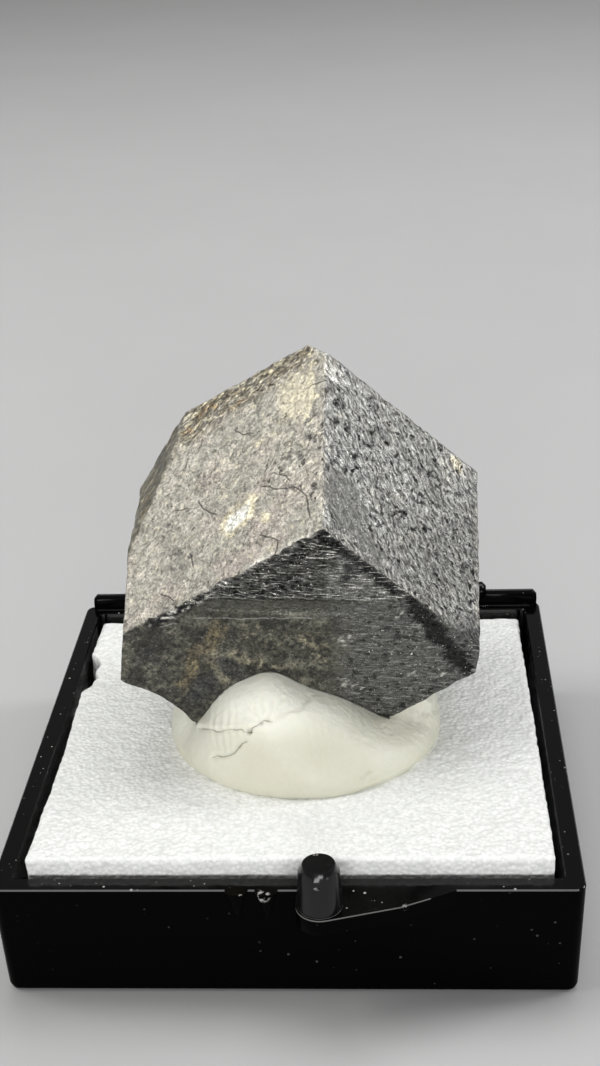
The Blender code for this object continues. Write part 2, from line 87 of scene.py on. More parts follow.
# The height of the putty's crest at each x, in front and behind, and how the two are joined.
PUTTY_FRONT_CREST = (
    (-8.2, 1.2), (-6.2, 2.75), (-5.2, 4.3), (-4.2, 5.3), (-2.7, 5.5), (-1.2, 5.8), (0.9, 4.25),
    (2.1, 3.75), (3.9, 2.85), (5.3, 1.95), (8.6, 1.7))
PUTTY_CREST_SHIFTS = (-0.75, -0.5, -0.25, 0.0, 0.25, 0.5, 0.75)
PUTTY_CREST_TURN = (-3.5, 0.1)
PUTTY_CREST_BLEND = 2.0
PUTTY_CREST = (
    (-8.2, 5.0), (-4.8, 5.8), (-3.0, 5.95), (-1.2, 5.85), (0.6, 5.25), (2.2, 4.35), (4.2, 3.5),
    (6.0, 3.5), (8.6, 3.8))


# ---- camera and lights ----

LAMP_AIM = (0.0, 0.0, 0.017)


def make_camera():
    data = bpy.data.cameras.new("camera")
    data.sensor_width = 36.0
    data.lens = 54.714
    data.clip_start = 0.005
    data.clip_end = 20.0
    camera = bpy.data.objects.new("camera", data)
    bpy.context.collection.objects.link(camera)
    right = Vector((0.99781432, 0.05139816, -0.04153082))
    ahead = Vector((-0.06438147, 0.89775123, -0.43577259))
    up = Vector((0.01488644, 0.43749395, 0.89909813))
    turn = Matrix((right, up, -ahead)).transposed()
    camera.matrix_world = Matrix.Translation((0.006619, -0.0844, 0.061337)) @ turn.to_4x4()
    bpy.context.scene.camera = camera


def add_softbox(name, place, size, power, colour=(1.0, 1.0, 1.0)):
    """A soft rectangular lamp at place, in metres, turned to the crystal."""
    data = bpy.data.lights.new(name, "AREA")
    data.shape = "RECTANGLE"
    data.size, data.size_y = size
    data.energy = power
    data.color = colour
    lamp = bpy.data.objects.new(name, data)
    bpy.context.collection.objects.link(lamp)
    turn = (Vector(LAMP_AIM) - Vector(place)).to_track_quat("-Z", "Y")
    lamp.matrix_world = Matrix.Translation(place) @ turn.to_matrix().to_4x4()


def make_studio():
    add_softbox("left softbox", (-0.24, 0.0, 0.28), (0.20, 0.20), 0.52, (1.0, 0.99, 0.955))
    add_softbox("right softbox", (0.34, 0.10, 0.17), (0.12, 0.12), 0.52)
    add_softbox("top softbox", (0.02, 0.12, 0.42), (0.34, 0.22), 0.85)
    add_softbox("front softbox", (0.03, -0.45, 0.10), (0.34, 0.12), 1.30)
    world = bpy.data.worlds.new("room")
    world.use_nodes = True
    background = world.node_tree.nodes["Background"]
    background.inputs["Color"].default_value = (0.84, 0.84, 0.83, 1.0)
    background.inputs["Strength"].default_value = 0.25
    bpy.context.scene.world = world
    bpy.context.scene.view_settings.view_transform = "Standard"


# ---- modelling helpers ----

def deselect_all():
    if bpy.context.object and bpy.context.object.mode != "OBJECT":
        bpy.ops.object.mode_set(mode="OBJECT")
    bpy.ops.object.select_all(action="DESELECT")


def named(name):
    """Name the object that was just added, and its mesh."""
    item = bpy.context.active_object
    item.name = item.data.name = name
    return item


def start_edit():
    bpy.ops.object.mode_set(mode="EDIT")
    bpy.ops.mesh.select_all(action="SELECT")


def end_edit():
    bpy.ops.mesh.select_all(action="SELECT")
    bpy.ops.mesh.normals_make_consistent(inside=False)
    bpy.ops.object.mode_set(mode="OBJECT")


def use_modifier(item, kind, **values):
    """Add a modifier and apply it at once."""
    modifier = item.modifiers.new(kind.lower(), kind)
    for key, value in values.items():
        setattr(modifier, key, value)
    bpy.context.view_layer.objects.active = item
    bpy.ops.object.modifier_apply(modifier=modifier.name)


def cut_away(item, tool):
    use_modifier(item, "BOOLEAN", operation="DIFFERENCE", solver="EXACT", object=tool)
    bpy.data.objects.remove(tool, do_unlink=True)


def read(items, name, width=1, kind=float):
    """One property of every item of a mesh, as an array."""
    flat = np.empty(len(items) * width, dtype=kind)
    items.foreach_get(name, flat)
    return flat.reshape(-1, width) if width > 1 else flat


def read_points(item):
    return read(item.data.vertices, "co", 3)


def read_normals(item):
    return read(item.data.vertices, "normal", 3)


def write_points(item, points):
    item.data.vertices.foreach_set("co", np.ascontiguousarray(points, dtype=np.float32).ravel())
    item.data.update()


def write_colours(item, name, colours):
    """Store one colour for each point, as a colour attribute."""
    layer = item.data.attributes.new(name, "FLOAT_COLOR", "POINT")
    rgba = np.ones((len(colours), 4), dtype=np.float32)
    rgba[:, :3] = colours
    layer.data.foreach_set("color", rgba.ravel())


def stand_in(item, node):
    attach(item, BODY)
    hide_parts(node)


def complete(item, material, node):
    """Turn a piece into metres, smooth it, give it its material, attach it and hide the part that it
    stands in for.
    """
    item.data.transform(Matrix.Scale(MM, 4))
    item.data.shade_smooth()
    item.data.materials.clear()
    item.data.materials.append(material)
    stand_in(item, node)


# ---- steady noise ----

def lattice(places, seed):
    """A steady number from 0 to 1 for each whole-number place."""
    mixed = np.full(places[0].shape, seed * 1274126177, dtype=np.int64)
    for axis, factor in zip(places, (374761393, 668265263, 2147483647)):
        mixed = mixed + axis.astype(np.int64) * factor
    mixed = mixed & 0xFFFFFFFF
    mixed = ((mixed ^ (mixed >> 13)) * 1274126177) & 0xFFFFFFFF
    mixed = ((mixed ^ (mixed >> 15)) * 374761393) & 0xFFFFFFFF
    return ((mixed ^ (mixed >> 16)) & 0xFFFF) / 65535.0


def noise(seed, *axes):
    """Smooth noise from -1 to 1 in two or three dimensions."""
    whole = [np.floor(axis) for axis in axes]
    part = [axis - low for axis, low in zip(axes, whole)]
    part = [share * share * (3 - 2 * share) for share in part]
    total = 0.0
    for corner in range(2 ** len(axes)):
        weight = 1.0
        places = []
        for index, (low, share) in enumerate(zip(whole, part)):
            bit = corner >> index & 1
            places.append(low + bit)
            weight = weight * (share if bit else 1 - share)
        total = total + weight * lattice(places, seed)
    return 2 * total - 1


def layered(seed, axes, octaves):
    """Noise with finer and weaker noise added on top."""
    total = 0.0
    for octave in range(octaves):
        scale = 2.0 ** octave
        total = total + noise(seed + octave, *[axis * scale for axis in axes]) / scale
    return total


def ramp(value, low, high):
    """0 up to low, 1 from high on, and smooth between."""
    share = np.clip((value - low) / (high - low), 0, 1)
    return share * share * (3 - 2 * share)


def streaks(seed, u, v, length, width):
    return noise(seed, u / length, v / width)


def clumps(seed, u, v, length, width, low, high):
    """1 in some places and 0 in others, as noise passes from low to high."""
    return ramp(streaks(seed, u, v, length, width), low, high)


def near_line(x, y, line):
    """Distance of each place to a line through the given points."""
    best = np.full(x.shape, 1e9)
    for (x0, y0), (x1, y1) in zip(line, line[1:]):
        dx, dy = x1 - x0, y1 - y0
        share = np.clip(((x - x0) * dx + (y - y0) * dy) / (dx * dx + dy * dy), 0, 1)
        best = np.minimum(best, np.hypot(x - x0 - share * dx, y - y0 - share * dy))
    return best


def along_line(u, v, line, low, high, warp=0.0):
    """1 along a line, falling to 0 between two distances from it."""
    return 1 - ramp(near_line(u, v, line) + warp, low, high)


def blot(x, y, centre, radii, angle=0.0):
    """1 inside an oval and falling to 0 outside it."""
    turn = math.radians(angle)
    dx, dy = x - centre[0], y - centre[1]
    along = (dx * math.cos(turn) + dy * math.sin(turn)) / radii[0]
    across = (-dx * math.sin(turn) + dy * math.cos(turn)) / radii[1]
    return 1 - ramp(np.hypot(along, across), 0.75, 1.25)


# ---- material helpers ----

class Wire:
    """The output of a shader node, which sums can be written with."""

    def __init__(self, socket):
        self.socket = socket
        self.tree = socket.id_data

    __add__ = lambda self, other: maths("ADD", self, other)
    __radd__ = lambda self, other: maths("ADD", other, self)
    __sub__ = lambda self, other: maths("SUBTRACT", self, other)
    __rsub__ = lambda self, other: maths("SUBTRACT", other, self)
    __mul__ = lambda self, other: maths("MULTIPLY", self, other)
    __abs__ = lambda self: maths("ABSOLUTE", self)


def tree_of(values):
    return next(value.tree for value in values if isinstance(value, Wire))


def feed(socket, value):
    if isinstance(value, Wire):
        value.tree.links.new(value.socket, socket)
    else:
        socket.default_value = value


def feed_all(sockets, values):
    for socket, value in zip(sockets, values):
        feed(socket, value)


def give(node, **inputs):
    """Set the inputs of a node, by value or by wire."""
    for key, value in inputs.items():
        feed(node.inputs[key.replace("_", " ")], value)


def put(tree, kind, settings=None, **inputs):
    """Add a node with its own properties and its inputs."""
    made = tree.nodes.new(kind)
    for key, value in (settings or {}).items():
        setattr(made, key, value)
    give(made, **inputs)
    return made


def output(tree, kind, name, settings=None, **inputs):
    """Add a node and give one of its outputs."""
    return Wire(put(tree, kind, settings, **inputs).outputs[name])


def maths(operation, *values, clamp=False):
    made = put(tree_of(values), "ShaderNodeMath", {"operation": operation, "use_clamp": clamp})
    feed_all(made.inputs, values)
    return Wire(made.outputs[0])


def most(first, second):
    return maths("MAXIMUM", first, second)


def vectors(operation, *values):
    made = put(tree_of(values), "ShaderNodeVectorMath", {"operation": operation})
    feed_all(made.inputs, values)
    return Wire(made.outputs["Value" if operation == "DISTANCE" else "Vector"])


def blend(share, first, second, mode="MIX"):
    """Mix two colours, each given as red, green and blue or as a wire."""
    made = put(tree_of((share, first)), "ShaderNodeMix", {"data_type": "RGBA", "blend_type": mode})
    feed(made.inputs[0], share)
    for number, colour in ((6, first), (7, second)):
        feed(made.inputs[number], (*colour, 1.0) if isinstance(colour, tuple) else colour)
    return Wire(made.outputs[2])


def spread(value, low, high, to_low=0.0, to_high=1.0):
    """Stretch a value from one range to another, with soft ends."""
    return output(value.tree, "ShaderNodeMapRange", "Result", {"interpolation_type": "SMOOTHSTEP"},
                  Value=value, From_Min=low, From_Max=high, To_Min=to_low, To_Max=to_high)


def parts_of(kind, **inputs):
    """The three parts of a colour or of a place."""
    made = put(tree_of(inputs.values()), "ShaderNodeSeparate" + kind, **inputs)
    return [Wire(part) for part in made.outputs]


def new_group(name, result, **inputs):
    """A shader node group with one output and the given inputs, each with its first value."""
    tree = bpy.data.node_groups.new(name, "ShaderNodeTree")
    for label, value in inputs.items():
        kind = "NodeSocketVector" if isinstance(value, tuple) else "NodeSocketFloat"
        tree.interface.new_socket(label, in_out="INPUT", socket_type=kind).default_value = value
    tree.interface.new_socket(result, in_out="OUTPUT", socket_type="NodeSocketFloat")
    given = tree.nodes.new("NodeGroupInput").outputs
    wires = [Wire(given[label]) for label in inputs]
    return tree, wires, tree.nodes.new("NodeGroupOutput").inputs[0]


def grain_group():
    """Noise that may be drawn out along one direction."""
    tree, (place, stretch, scale, detail, roughness), result = new_group(
        "grain", "Grain", Place=(0.0, 0.0, 0.0), Stretch=(1.0, 1.0, 1.0), Scale=1.0, Detail=3.0,
        Roughness=0.6)
    mapped = output(tree, "ShaderNodeMapping", 0, Vector=place, Scale=stretch)
    feed(result, output(tree, "ShaderNodeTexNoise", "Fac", Vector=mapped, Scale=scale,
                        Detail=detail, Roughness=roughness))
    return tree


def specks_group():
    """Round specks scattered over some of the cells of a fine honeycomb."""
    tree, (place, scale, share, size), result = new_group(
        "specks", "Mask", Place=(0.0, 0.0, 0.0), Scale=1.0, Share=0.2, Size=0.3)
    cells = put(tree, "ShaderNodeTexVoronoi", {"feature": "F1"}, Vector=place, Scale=scale)
    lot, other_lot, _ = parts_of("Color", Color=Wire(cells.outputs["Color"]))
    reach = maths("DIVIDE", Wire(cells.outputs["Distance"]), size * (other_lot + 0.4))
    near = maths("MULTIPLY", maths("SUBTRACT", 1.0, reach, clamp=True), 3.0, clamp=True)
    feed(result, near * maths("LESS_THAN", lot, share))
    return tree


GRAIN = grain_group()
SPECKS = specks_group()


def grain(place, scale, detail=3.0, roughness=0.6, stretch=(1.0, 1.0, 1.0)):
    return output(place.tree, "ShaderNodeGroup", 0, {"node_tree": GRAIN}, Place=place,
                  Stretch=stretch, Scale=scale, Detail=detail, Roughness=roughness)


def specks(place, scale, share, size):
    return output(place.tree, "ShaderNodeGroup", 0, {"node_tree": SPECKS}, Place=place, Scale=scale,
                  Share=share, Size=size)


def painted(tree, name):
    """The colour of a painted attribute."""
    return output(tree, "ShaderNodeAttribute", "Color", {"attribute_name": name})


def new_material(name):
    """A material, its shader node, and the place on the piece."""
    material = bpy.data.materials.new(name)
    material.use_nodes = True
    tree = material.node_tree
    return material, tree.nodes["Principled BSDF"], output(tree, "ShaderNodeTexCoord", "Object")


def bump(level, strength, distance):
    return output(level.tree, "ShaderNodeBump", 0, Strength=strength, Distance=distance,
                  Height=level)


# ---- shape of the crystal ----

def crystal_place():
    turn = Euler([math.radians(angle) for angle in CRYSTAL_TURN], "XYZ").to_matrix().to_4x4()
    return Matrix.Translation(CRYSTAL_MIDDLE) @ turn


def face_axes(direction):
    """Axes of a face: along its long diagonal, across it, and outwards."""
    out = Vector(direction).normalized()
    if abs(out.z) < 0.1:
        along = Vector((0, 0, 1)).cross(out)
    else:
        along = Vector((0, 0, 1)) - out * out.z
        if out.z < 0:
            along.negate()
    along = along.normalized()
    return np.array(along), np.array(out.cross(along)), np.array(out)


def pull_tool(name, line, bottom, sections, middle, grow):
    """A tool under a line of x and z, pulled inwards through its sections."""
    outline = [*line, (line[-1][0], bottom), (line[0][0], bottom)]
    deselect_all()
    bpy.ops.mesh.primitive_circle_add(vertices=len(outline), radius=1.0, fill_type="NGON")
    tool = named(name)
    for point, (x, z) in zip(tool.data.vertices, outline):
        point.co = (x, sections[0][0] - grow, z)
    start_edit()
    for (y, share, drop), (next_y, next_share, next_drop) in zip(sections, sections[1:]):
        shift = (0, next_y - y, drop - next_drop)
        bpy.ops.mesh.extrude_region_move(TRANSFORM_OT_translate={"value": shift})
        ratio = next_share / share
        pivot = (middle[0], next_y, middle[1])
        bpy.ops.transform.resize(value=(ratio, 1, ratio), center_override=pivot)
    end_edit()
    return tool


def hollow_tool(grow):
    """The arch-shaped hollow broken out of the crystal's foot; grow leaves less room in it."""
    x0, z0 = HOLLOW_MIDDLE
    fit = 1.0 - grow / HOLLOW_RISE
    line = [(x0 + (x - x0) * fit, z0 + (z - z0) * fit) for x, z in HOLLOW_ARCH]
    bottom = z0 + (HOLLOW_BOTTOM - z0) * fit
    return pull_tool("hollow tool", line, bottom, HOLLOW_SECTIONS, HOLLOW_MIDDLE, grow)


def scoop_tool(grow):
    """The shallow scoop broken out under the left foot."""
    line = [(x, z - grow) for x, z in SCOOP_LINE]
    return pull_tool("scoop tool", line, SCOOP_BOTTOM - grow, SCOOP_SECTIONS, (0.0, 0.0), grow)


def crystal_solid(name, grow=0.0):
    """A block cut down by every face of the crystal, with its foot hollowed."""
    deselect_all()
    bpy.ops.mesh.primitive_cube_add(size=ROUGH_BLOCK)
    solid = named(name)
    start_edit()
    for direction, distance, *_ in FACES.values():
        normal = Vector(direction).normalized()
        bpy.ops.mesh.select_all(action="SELECT")
        bpy.ops.mesh.bisect(plane_co=normal * (distance + grow), plane_no=normal, use_fill=True,
                            clear_outer=True, threshold=0.00001)
    end_edit()
    cut_away(solid, hollow_tool(grow))
    cut_away(solid, scoop_tool(grow))
    return solid


# ---- places on the crystal's faces, each 1 inside and 0 outside ----

UPPER_LEFT_EDGE = ((-9.0, 0.1), (-6.2, 2.1))
STEEP_BELT = ((5.9, 1.8), (7.5, 0.1), (9.3, -2.0))
EDGE_BELT = ((0.3, 6.1), (5.9, 2.1))
LEFT_PITS = (
    (4.47, 0.32, 0.15), (4.44, -1.99, 0.2), (4.5, -2.33, 0.16), (4.46, -2.82, 0.17), (3.1, -2.42, 0.2),
    (3.35, -2.61, 0.15), (2.79, -1.71, 0.17), (1.96, -4.37, 0.18), (2.09, -4.65, 0.18),
    (-3.89, 2.68, 0.17), (-5.15, 1.05, 0.24), (-5.48, 1.19, 0.16), (-5.52, 0.06, 0.16),
    (-4.96, 0.11, 0.14), (-4.87, 0.98, 0.12), (4.1, -3.55, 0.15), (1.66, -5.51, 0.14))
RIGHT_PITS = (
    (6.48, 0.86, 0.2), (6.07, 0.49, 0.2), (4.93, 0.96, 0.22), (5.4, 1.5, 0.2), (4.09, -0.87, 0.2),
    (4.22, 2.31, 0.2), (3.41, 3.29, 0.24), (3.43, 1.78, 0.2), (3.04, 1.52, 0.25), (3.35, -0.12, 0.2),
    (-0.84, 0.65, 0.2), (-1.15, 0.2, 0.24), (0.48, -3.53, 0.24), (-0.85, -1.84, 0.2),
    (-0.8, -1.42, 0.17), (-3.91, -0.97, 0.2), (-5.38, -2.45, 0.22), (-0.51, 2.17, 0.2),
    (-3.2, -3.15, 0.17), (2.2, -1.6, 0.18), (5.2, -1.9, 0.2), (2.6, 0.3, 0.16))


def above_band(u, v):
    """The black upper part of the front face, above its smooth sunk band."""
    return ramp(v - 0.06 * u, 1.9, 2.0) * ramp(u, -6.9, -6.3)


def rough_corner(u, v):
    """The torn strip along the front face's upper left edge."""
    return along_line(u, v, UPPER_LEFT_EDGE, 0.45, 0.75)


def front_belts(u, v):
    """The two black sunk belts by the front face's right edges."""
    warp = 0.25 * layered(151, (u / 0.5, v / 0.22), 3)
    steep = along_line(u, v, STEEP_BELT, 0.42, 0.6, warp)
    edge = along_line(u, v, EDGE_BELT, 0.3, 0.6, 0.7 * warp)
    blotch = blot(u + warp, v + warp, (1.9, 4.0), (0.45, 1.2), -12)
    blotch = blotch * clumps(154, u, v, 0.4, 0.16, -0.5, 0)
    return np.clip(np.maximum(np.maximum(steep, edge), 0.8 * blotch), 0, 1)


def torn_left(u, v):
    """The black, roughly torn left part of the front face's top."""
    warp = 0.5 * layered(155, (u / 0.9, v / 0.5), 3)
    return above_band(u, v) * (1 - ramp(u + warp, 0.2, 1.6))


def front_rough(u, v, above):
    return np.maximum(above * above_band(u, v) + 0.6 * torn_left(u, v), rough_corner(u, v))


def plateau(value, start, full, still_full, end):
    """0 up to start, 1 between the middle two and 0 again from end on."""
    return ramp(value, start, full) * (1 - ramp(value, still_full, end))


def by_front_edge(u, v):
    """The pitted pale strip of the left upper face, along the crystal's front edge."""
    return ramp(-v - 0.25 * (u - 2), 0.4, 1.6) * ramp(u, 0.4, 1.4)


def right_calm(u, v):
    """The smoother patch of the right upper face, near the front corner."""
    warp = 0.35 * streaks(157, u, v, 0.7, 0.4)
    patch = blot(u + warp, v + warp, (0.9, 4.0), (2.0, 1.25), -10)
    return np.maximum(patch, 0.8 * blot(u + warp, v, (-2.4, 4.0), (2.0, 0.6), -8))


def spots(u, v, places):
    """Small ragged spots."""
    warp = 0.2 * streaks(156, u, v, 0.17, 0.17)
    found = np.zeros(u.shape)
    for centre_u, centre_v, radius in places:
        radii = (0.7 * radius, 1.15 * radius)
        found = np.maximum(found, blot(u + warp, v - warp, (centre_u, centre_v), radii))
    return found


# ---- relief of the crystal's faces ----

def front_relief(u, v):
    """Fine level ridges, rough above the smooth sunk band and calm below it."""
    rough = front_rough(u, v, 0.35)
    band = plateau(v - 0.06 * u, 1.0, 1.1, 1.85, 1.95) * plateau(u, -6.5, -6.1, 1.2, 3.0)
    lines = streaks(21, u, v - 0.03 * u, 1.5, 0.3) + 0.6 * streaks(22, u, v, 0.6, 0.2)
    height = lines * (0.010 + 0.035 * rough)
    height -= rough * 0.12 * clumps(23, u, v, 0.6, 0.35, 0.1, 0.6)
    height -= 0.16 * torn_left(u, v) * ramp(layered(25, (u / 1.1, v / 0.7), 2), 0.15, 0.45)
    height -= 0.10 * front_belts(u, v) + 0.10 * band * (1 - rough_corner(u, v))
    crust = blot(u, v, (-5.6, -2.6), (2.6, 0.9), 62) + blot(u, v, (0.2, -0.9), (1.9, 1.0), -50)
    height += 0.05 * crust * layered(24, (u / 0.5, v / 0.5), 3)
    smooth = blot(u, v, (-5.7, -4.5), (1.1, 0.8), 60) + blot(u, v, (-4.0, -2.75), (0.8, 0.5), -25)
    return height - 0.09 * np.clip(smooth, 0, 1)


def left_relief(u, v):
    """Nearly flat, gently wrinkled, with a few small pits by the upright edge."""
    height = 0.010 * streaks(31, u, v, 1.6, 0.7) + 0.010 * layered(32, (u / 0.6, v / 0.4), 2)
    pits = clumps(33, u, v, 0.28, 0.42, 0.5, 0.85) * clumps(34, u, v, 1, 1, -0.1, 0.5)
    return height - 0.10 * pits * by_front_edge(u, v) - 0.09 * spots(u, v, LEFT_PITS)


def right_relief(u, v):
    """Steep short ridges with pits between them, calmer near the front corner."""
    busy = 1 - 0.75 * right_calm(u, v)
    ridges = streaks(41, u, v, 0.9, 0.33) + 0.7 * streaks(42, u, v, 0.5, 0.22)
    often = 0.2 + 0.8 * clumps(44, u, v, 2, 2, -0.3, 0.4)
    pits = clumps(43, u, v, 0.33, 0.42, 0.5, 0.85) * often
    return busy * (0.026 * ridges - 0.10 * pits) - 0.12 * spots(u, v, RIGHT_PITS)


def plain_relief(seed):
    """The quiet ridges of a grown face that is seldom looked at."""
    def relief(u, v):
        pits = clumps(seed + 1, u, v, 0.5, 0.4, 0.5, 0.85)
        return 0.03 * streaks(seed, u, v, 1.4, 0.36) - 0.09 * pits
    return relief


def broken_relief(seed, depth):
    """Uneven fracture with shallow scoops."""
    def relief(u, v):
        scoops = np.abs(streaks(seed, u, v, 2.4, 2.0)) - 0.25
        return depth * (scoops + 0.45 * layered(seed + 2, (u / 0.9, v / 0.9), 3))
    return relief


# ---- colours of the crystal's faces ----

BEIGE_COAT = np.array((0.355, 0.337, 0.289))
PINK_COAT = np.array((0.37, 0.33, 0.293))
PALE_COAT = np.array((0.49, 0.46, 0.40))
GREEN_COAT = np.array((0.335, 0.325, 0.28))
STEEL_GREY = np.array((0.30, 0.30, 0.288))
DARK_GREY = np.array((0.078, 0.078, 0.073))
DARK_BAND = np.array((0.058, 0.058, 0.046))
BLACK = np.array((0.014, 0.014, 0.014))
CREAM = np.array((0.74, 0.67, 0.48))
CHALK = np.array((0.78, 0.77, 0.70))
OLIVE = np.array((0.066, 0.063, 0.046))
BROWN = np.array((0.105, 0.088, 0.055))
RUST = np.array((0.24, 0.15, 0.06))
TAN = np.array((0.185, 0.17, 0.118))
GOLDEN = np.array((0.17, 0.14, 0.075))
WORN = np.array((0.165, 0.142, 0.097))
BROWN_STREAK = ((-5.3, -0.3), (-5.7, -1.27), (-6.2, -2.0), (-6.5, -3.0), (-6.7, -4.2))
TAN_ARC = ((-5.5, -1.95), (-5.1, -2.6), (-4.75, -3.3), (-4.45, -4.05))
FRONT_FLECKS = (
    ((1.85, -0.57), 0.25), ((2.1, -0.89), 0.2), ((2.4, -3.6), 0.55), ((3.3, -3.84), 0.3),
    ((6.28, -2.45), 0.22), ((6.61, -2.77), 0.2), ((8.01, -2.5), 0.25), ((4.92, 1.3), 0.15))
# Cream marks on the left face: middle, radii, turn and strength.
LEFT_MARKS = (
    ((-1.55, -1.2), (1.3, 0.62), -8, 1.0), ((-0.4, -1.3), (0.65, 0.2), -12, 0.8),
    ((-0.8, -2.75), (0.33, 0.3), 60, 0.85), ((2.9, 0.45), (0.35, 0.2), -50, 0.7),
    ((6.3, 0.1), (1.6, 1.2), 30, 0.45), ((7.7, 0.1), (0.5, 0.3), 40, 0.6),
    ((6.7, -1.0), (0.45, 0.3), 0, 0.5))
# Lines of painted highlight along two edges of the left face.
LEFT_LOWER_EDGE_HIGHLIGHT = ((0.0, -6.4), (-3.8, -3.75))
LEFT_RIM_HIGHLIGHT = ((1.2, 5.3), (0.4, 5.5), (-0.82, 5.6), (-2.2, 5.25))


def tinted(tone, *coats):
    """Lay coats of colour over a tone, each by its own share."""
    for colour, share in coats:
        share = np.clip(share, 0, 1)[:, None]
        tone = tone * (1 - share) + colour * share
    return tone


def front_tone(u, v):
    """Torn and black at the top left, olive and rusty below it, grey on the right."""
    warp = 0.35 * layered(101, (u / 0.6, v / 0.6), 3)
    wu, wv = u + warp, v + warp
    left = (1 - ramp(wu, 0.8, 3.2)) * (1 - ramp(v, 0.9, 1.2))
    clouds = layered(110, (u / 0.8, v / 0.6), 4)
    tone = tinted(DARK_GREY, (OLIVE, 0.85 * left))
    tone = tone * (1 + left * np.clip(0.75 * clouds - 0.15, -0.6, 0.75))[:, None]
    above, torn, corner = above_band(u, v), torn_left(u, v), rough_corner(u, v)
    sunk = plateau(v - 0.06 * u, 0.9, 1.1, 1.85, 2.0)
    streak = along_line(u, v, BROWN_STREAK, 0.15, 0.75, warp)
    fibres = streaks(108, u - 0.35 * v, v, 0.17, 0.7) + 0.5 * streaks(118, u, v, 0.25, 0.25)
    arc = along_line(u, v, TAN_ARC, 0.05, 0.35, 0.7 * warp)
    mottled = ramp(layered(109, (u / 0.28, v / 0.22), 2), -0.5, 0.7)
    feather = blot(wu, wv, (0.1, -0.9), (1.7, 0.55), -52)
    crust = blot(wu, wv, (-3.0, -2.35), (2.1, 0.35), -10)
    speckled = blot(wu, wv, (-2.6, -0.5), (1.6, 0.8), -20)
    smooth = blot(u + 0.4 * warp, v, (-5.85, -4.5), (1.2, 0.75), 60)
    smooth = smooth + blot(u, v + 0.4 * warp, (-4.3, -2.95), (1.15, 0.42), -38)
    smooth = smooth + 0.8 * blot(wu, wv, (-9.0, -2.5), (0.8, 0.6))
    shadowed = blot(wu, v + 0.5 * warp, (1.6, 0.4), (1.3, 0.4), -30)
    dashes = clumps(117, u, v, 0.5, 0.14, 0.35, 0.6) * ramp(u, 1.5, 3.5) * (1 - above)
    ragged = clumps(104, u, v, 0.15, 0.15, -0.1, 0.6)
    flecks = [blot(wu, wv, centre, (radius, radius * 0.7)) for centre, radius in FRONT_FLECKS]
    return tinted(
        tone,
        (BLACK, 0.4 * torn),
        (1.55 * DARK_GREY, 0.9 * above * (1 - torn)),
        (DARK_BAND, 0.85 * sunk * (1 - ramp(u, 0.5, 2.5))),
        (BLACK, corner),
        (CHALK, 0.4 * corner * clumps(107, u, v, 0.26, 0.2, 0.15, 0.5)),
        (BROWN, 0.8 * streak),
        (GOLDEN, streak * ramp(fibres, -0.1, 0.6)),
        (1.15 * TAN, arc * (0.3 + 0.7 * mottled)),
        (1.1 * TAN, feather * clumps(102, u, v, 0.22, 0.18, -0.15, 0.35)),
        (1.15 * TAN, 0.9 * crust * clumps(103, u, v, 0.26, 0.22, -0.5, 0.3)),
        (TAN, 0.6 * speckled * clumps(105, u, v, 0.2, 0.16, 0.1, 0.6)),
        (0.5 * DARK_GREY, 0.95 * smooth),
        (BLACK, 0.6 * shadowed * clumps(106, u, v, 0.35, 0.13, -0.3, 0.3)),
        (BLACK, 0.85 * dashes),
        *[(CHALK, 0.5 * fleck * ragged) for fleck in flecks],
        (BLACK, 0.95 * front_belts(u, v)))


def left_tone(u, v):
    """Warm grey-beige with pink and green veils, pale flecks and a cream patch."""
    warp = 0.25 * layered(113, (u / 0.5, v / 0.5), 3)
    wu, wv = u + warp, v + warp
    near_top = ramp(u + 0.6 * np.abs(v), 3.5, 6.5)
    patch_rim = blot(wu, wv, (-1.5, -1.2), (1.35, 0.66), -8) * clumps(120, u, v, 0.3, 0.3, 0.0, 0.5)
    return tinted(
        BEIGE_COAT,
        (PINK_COAT, 0.9 * clumps(114, u, v, 2.6, 1.9, -0.1, 0.5)),
        (GREEN_COAT, 0.8 * clumps(112, u, v, 1.9, 1.1, 0.1, 0.6)),
        (PALE_COAT, 0.6 * clumps(111, u, v, 0.9, 0.5, 0.1, 0.8)),
        (0.62 * GREEN_COAT, 0.6 * clumps(119, u, v, 0.55, 0.35, 0.3, 0.75)),
        (CREAM, clumps(115, u, v, 0.22, 0.16, 0.48, 0.75) * (0.3 + 0.5 * near_top)),
        *[(CREAM, strength * blot(wu, wv, *oval)) for *oval, strength in LEFT_MARKS],
        (1.6 * TAN, 0.6 * patch_rim),
        (CHALK, blot(u + 0.4 * warp, v + 0.4 * warp, (-1.6, -1.18), (1.0, 0.4), -8)),
        (PALE_COAT, 0.7 * by_front_edge(u, v) * clumps(116, u, v, 0.5, 0.3, 0.0, 0.5)),
        # Painted highlights: pale lines along two of the face's edges.
        (CHALK, 0.6 * along_line(u, v, LEFT_LOWER_EDGE_HIGHLIGHT, 0.05, 0.25, 0.4 * warp)),
        (CREAM, 0.7 * along_line(u, v, LEFT_RIM_HIGHLIGHT, 0.1, 0.3)),
        # Painted shade: the pits are painted dark.
        (1.1 * DARK_GREY, 0.85 * spots(u, v, LEFT_PITS)))


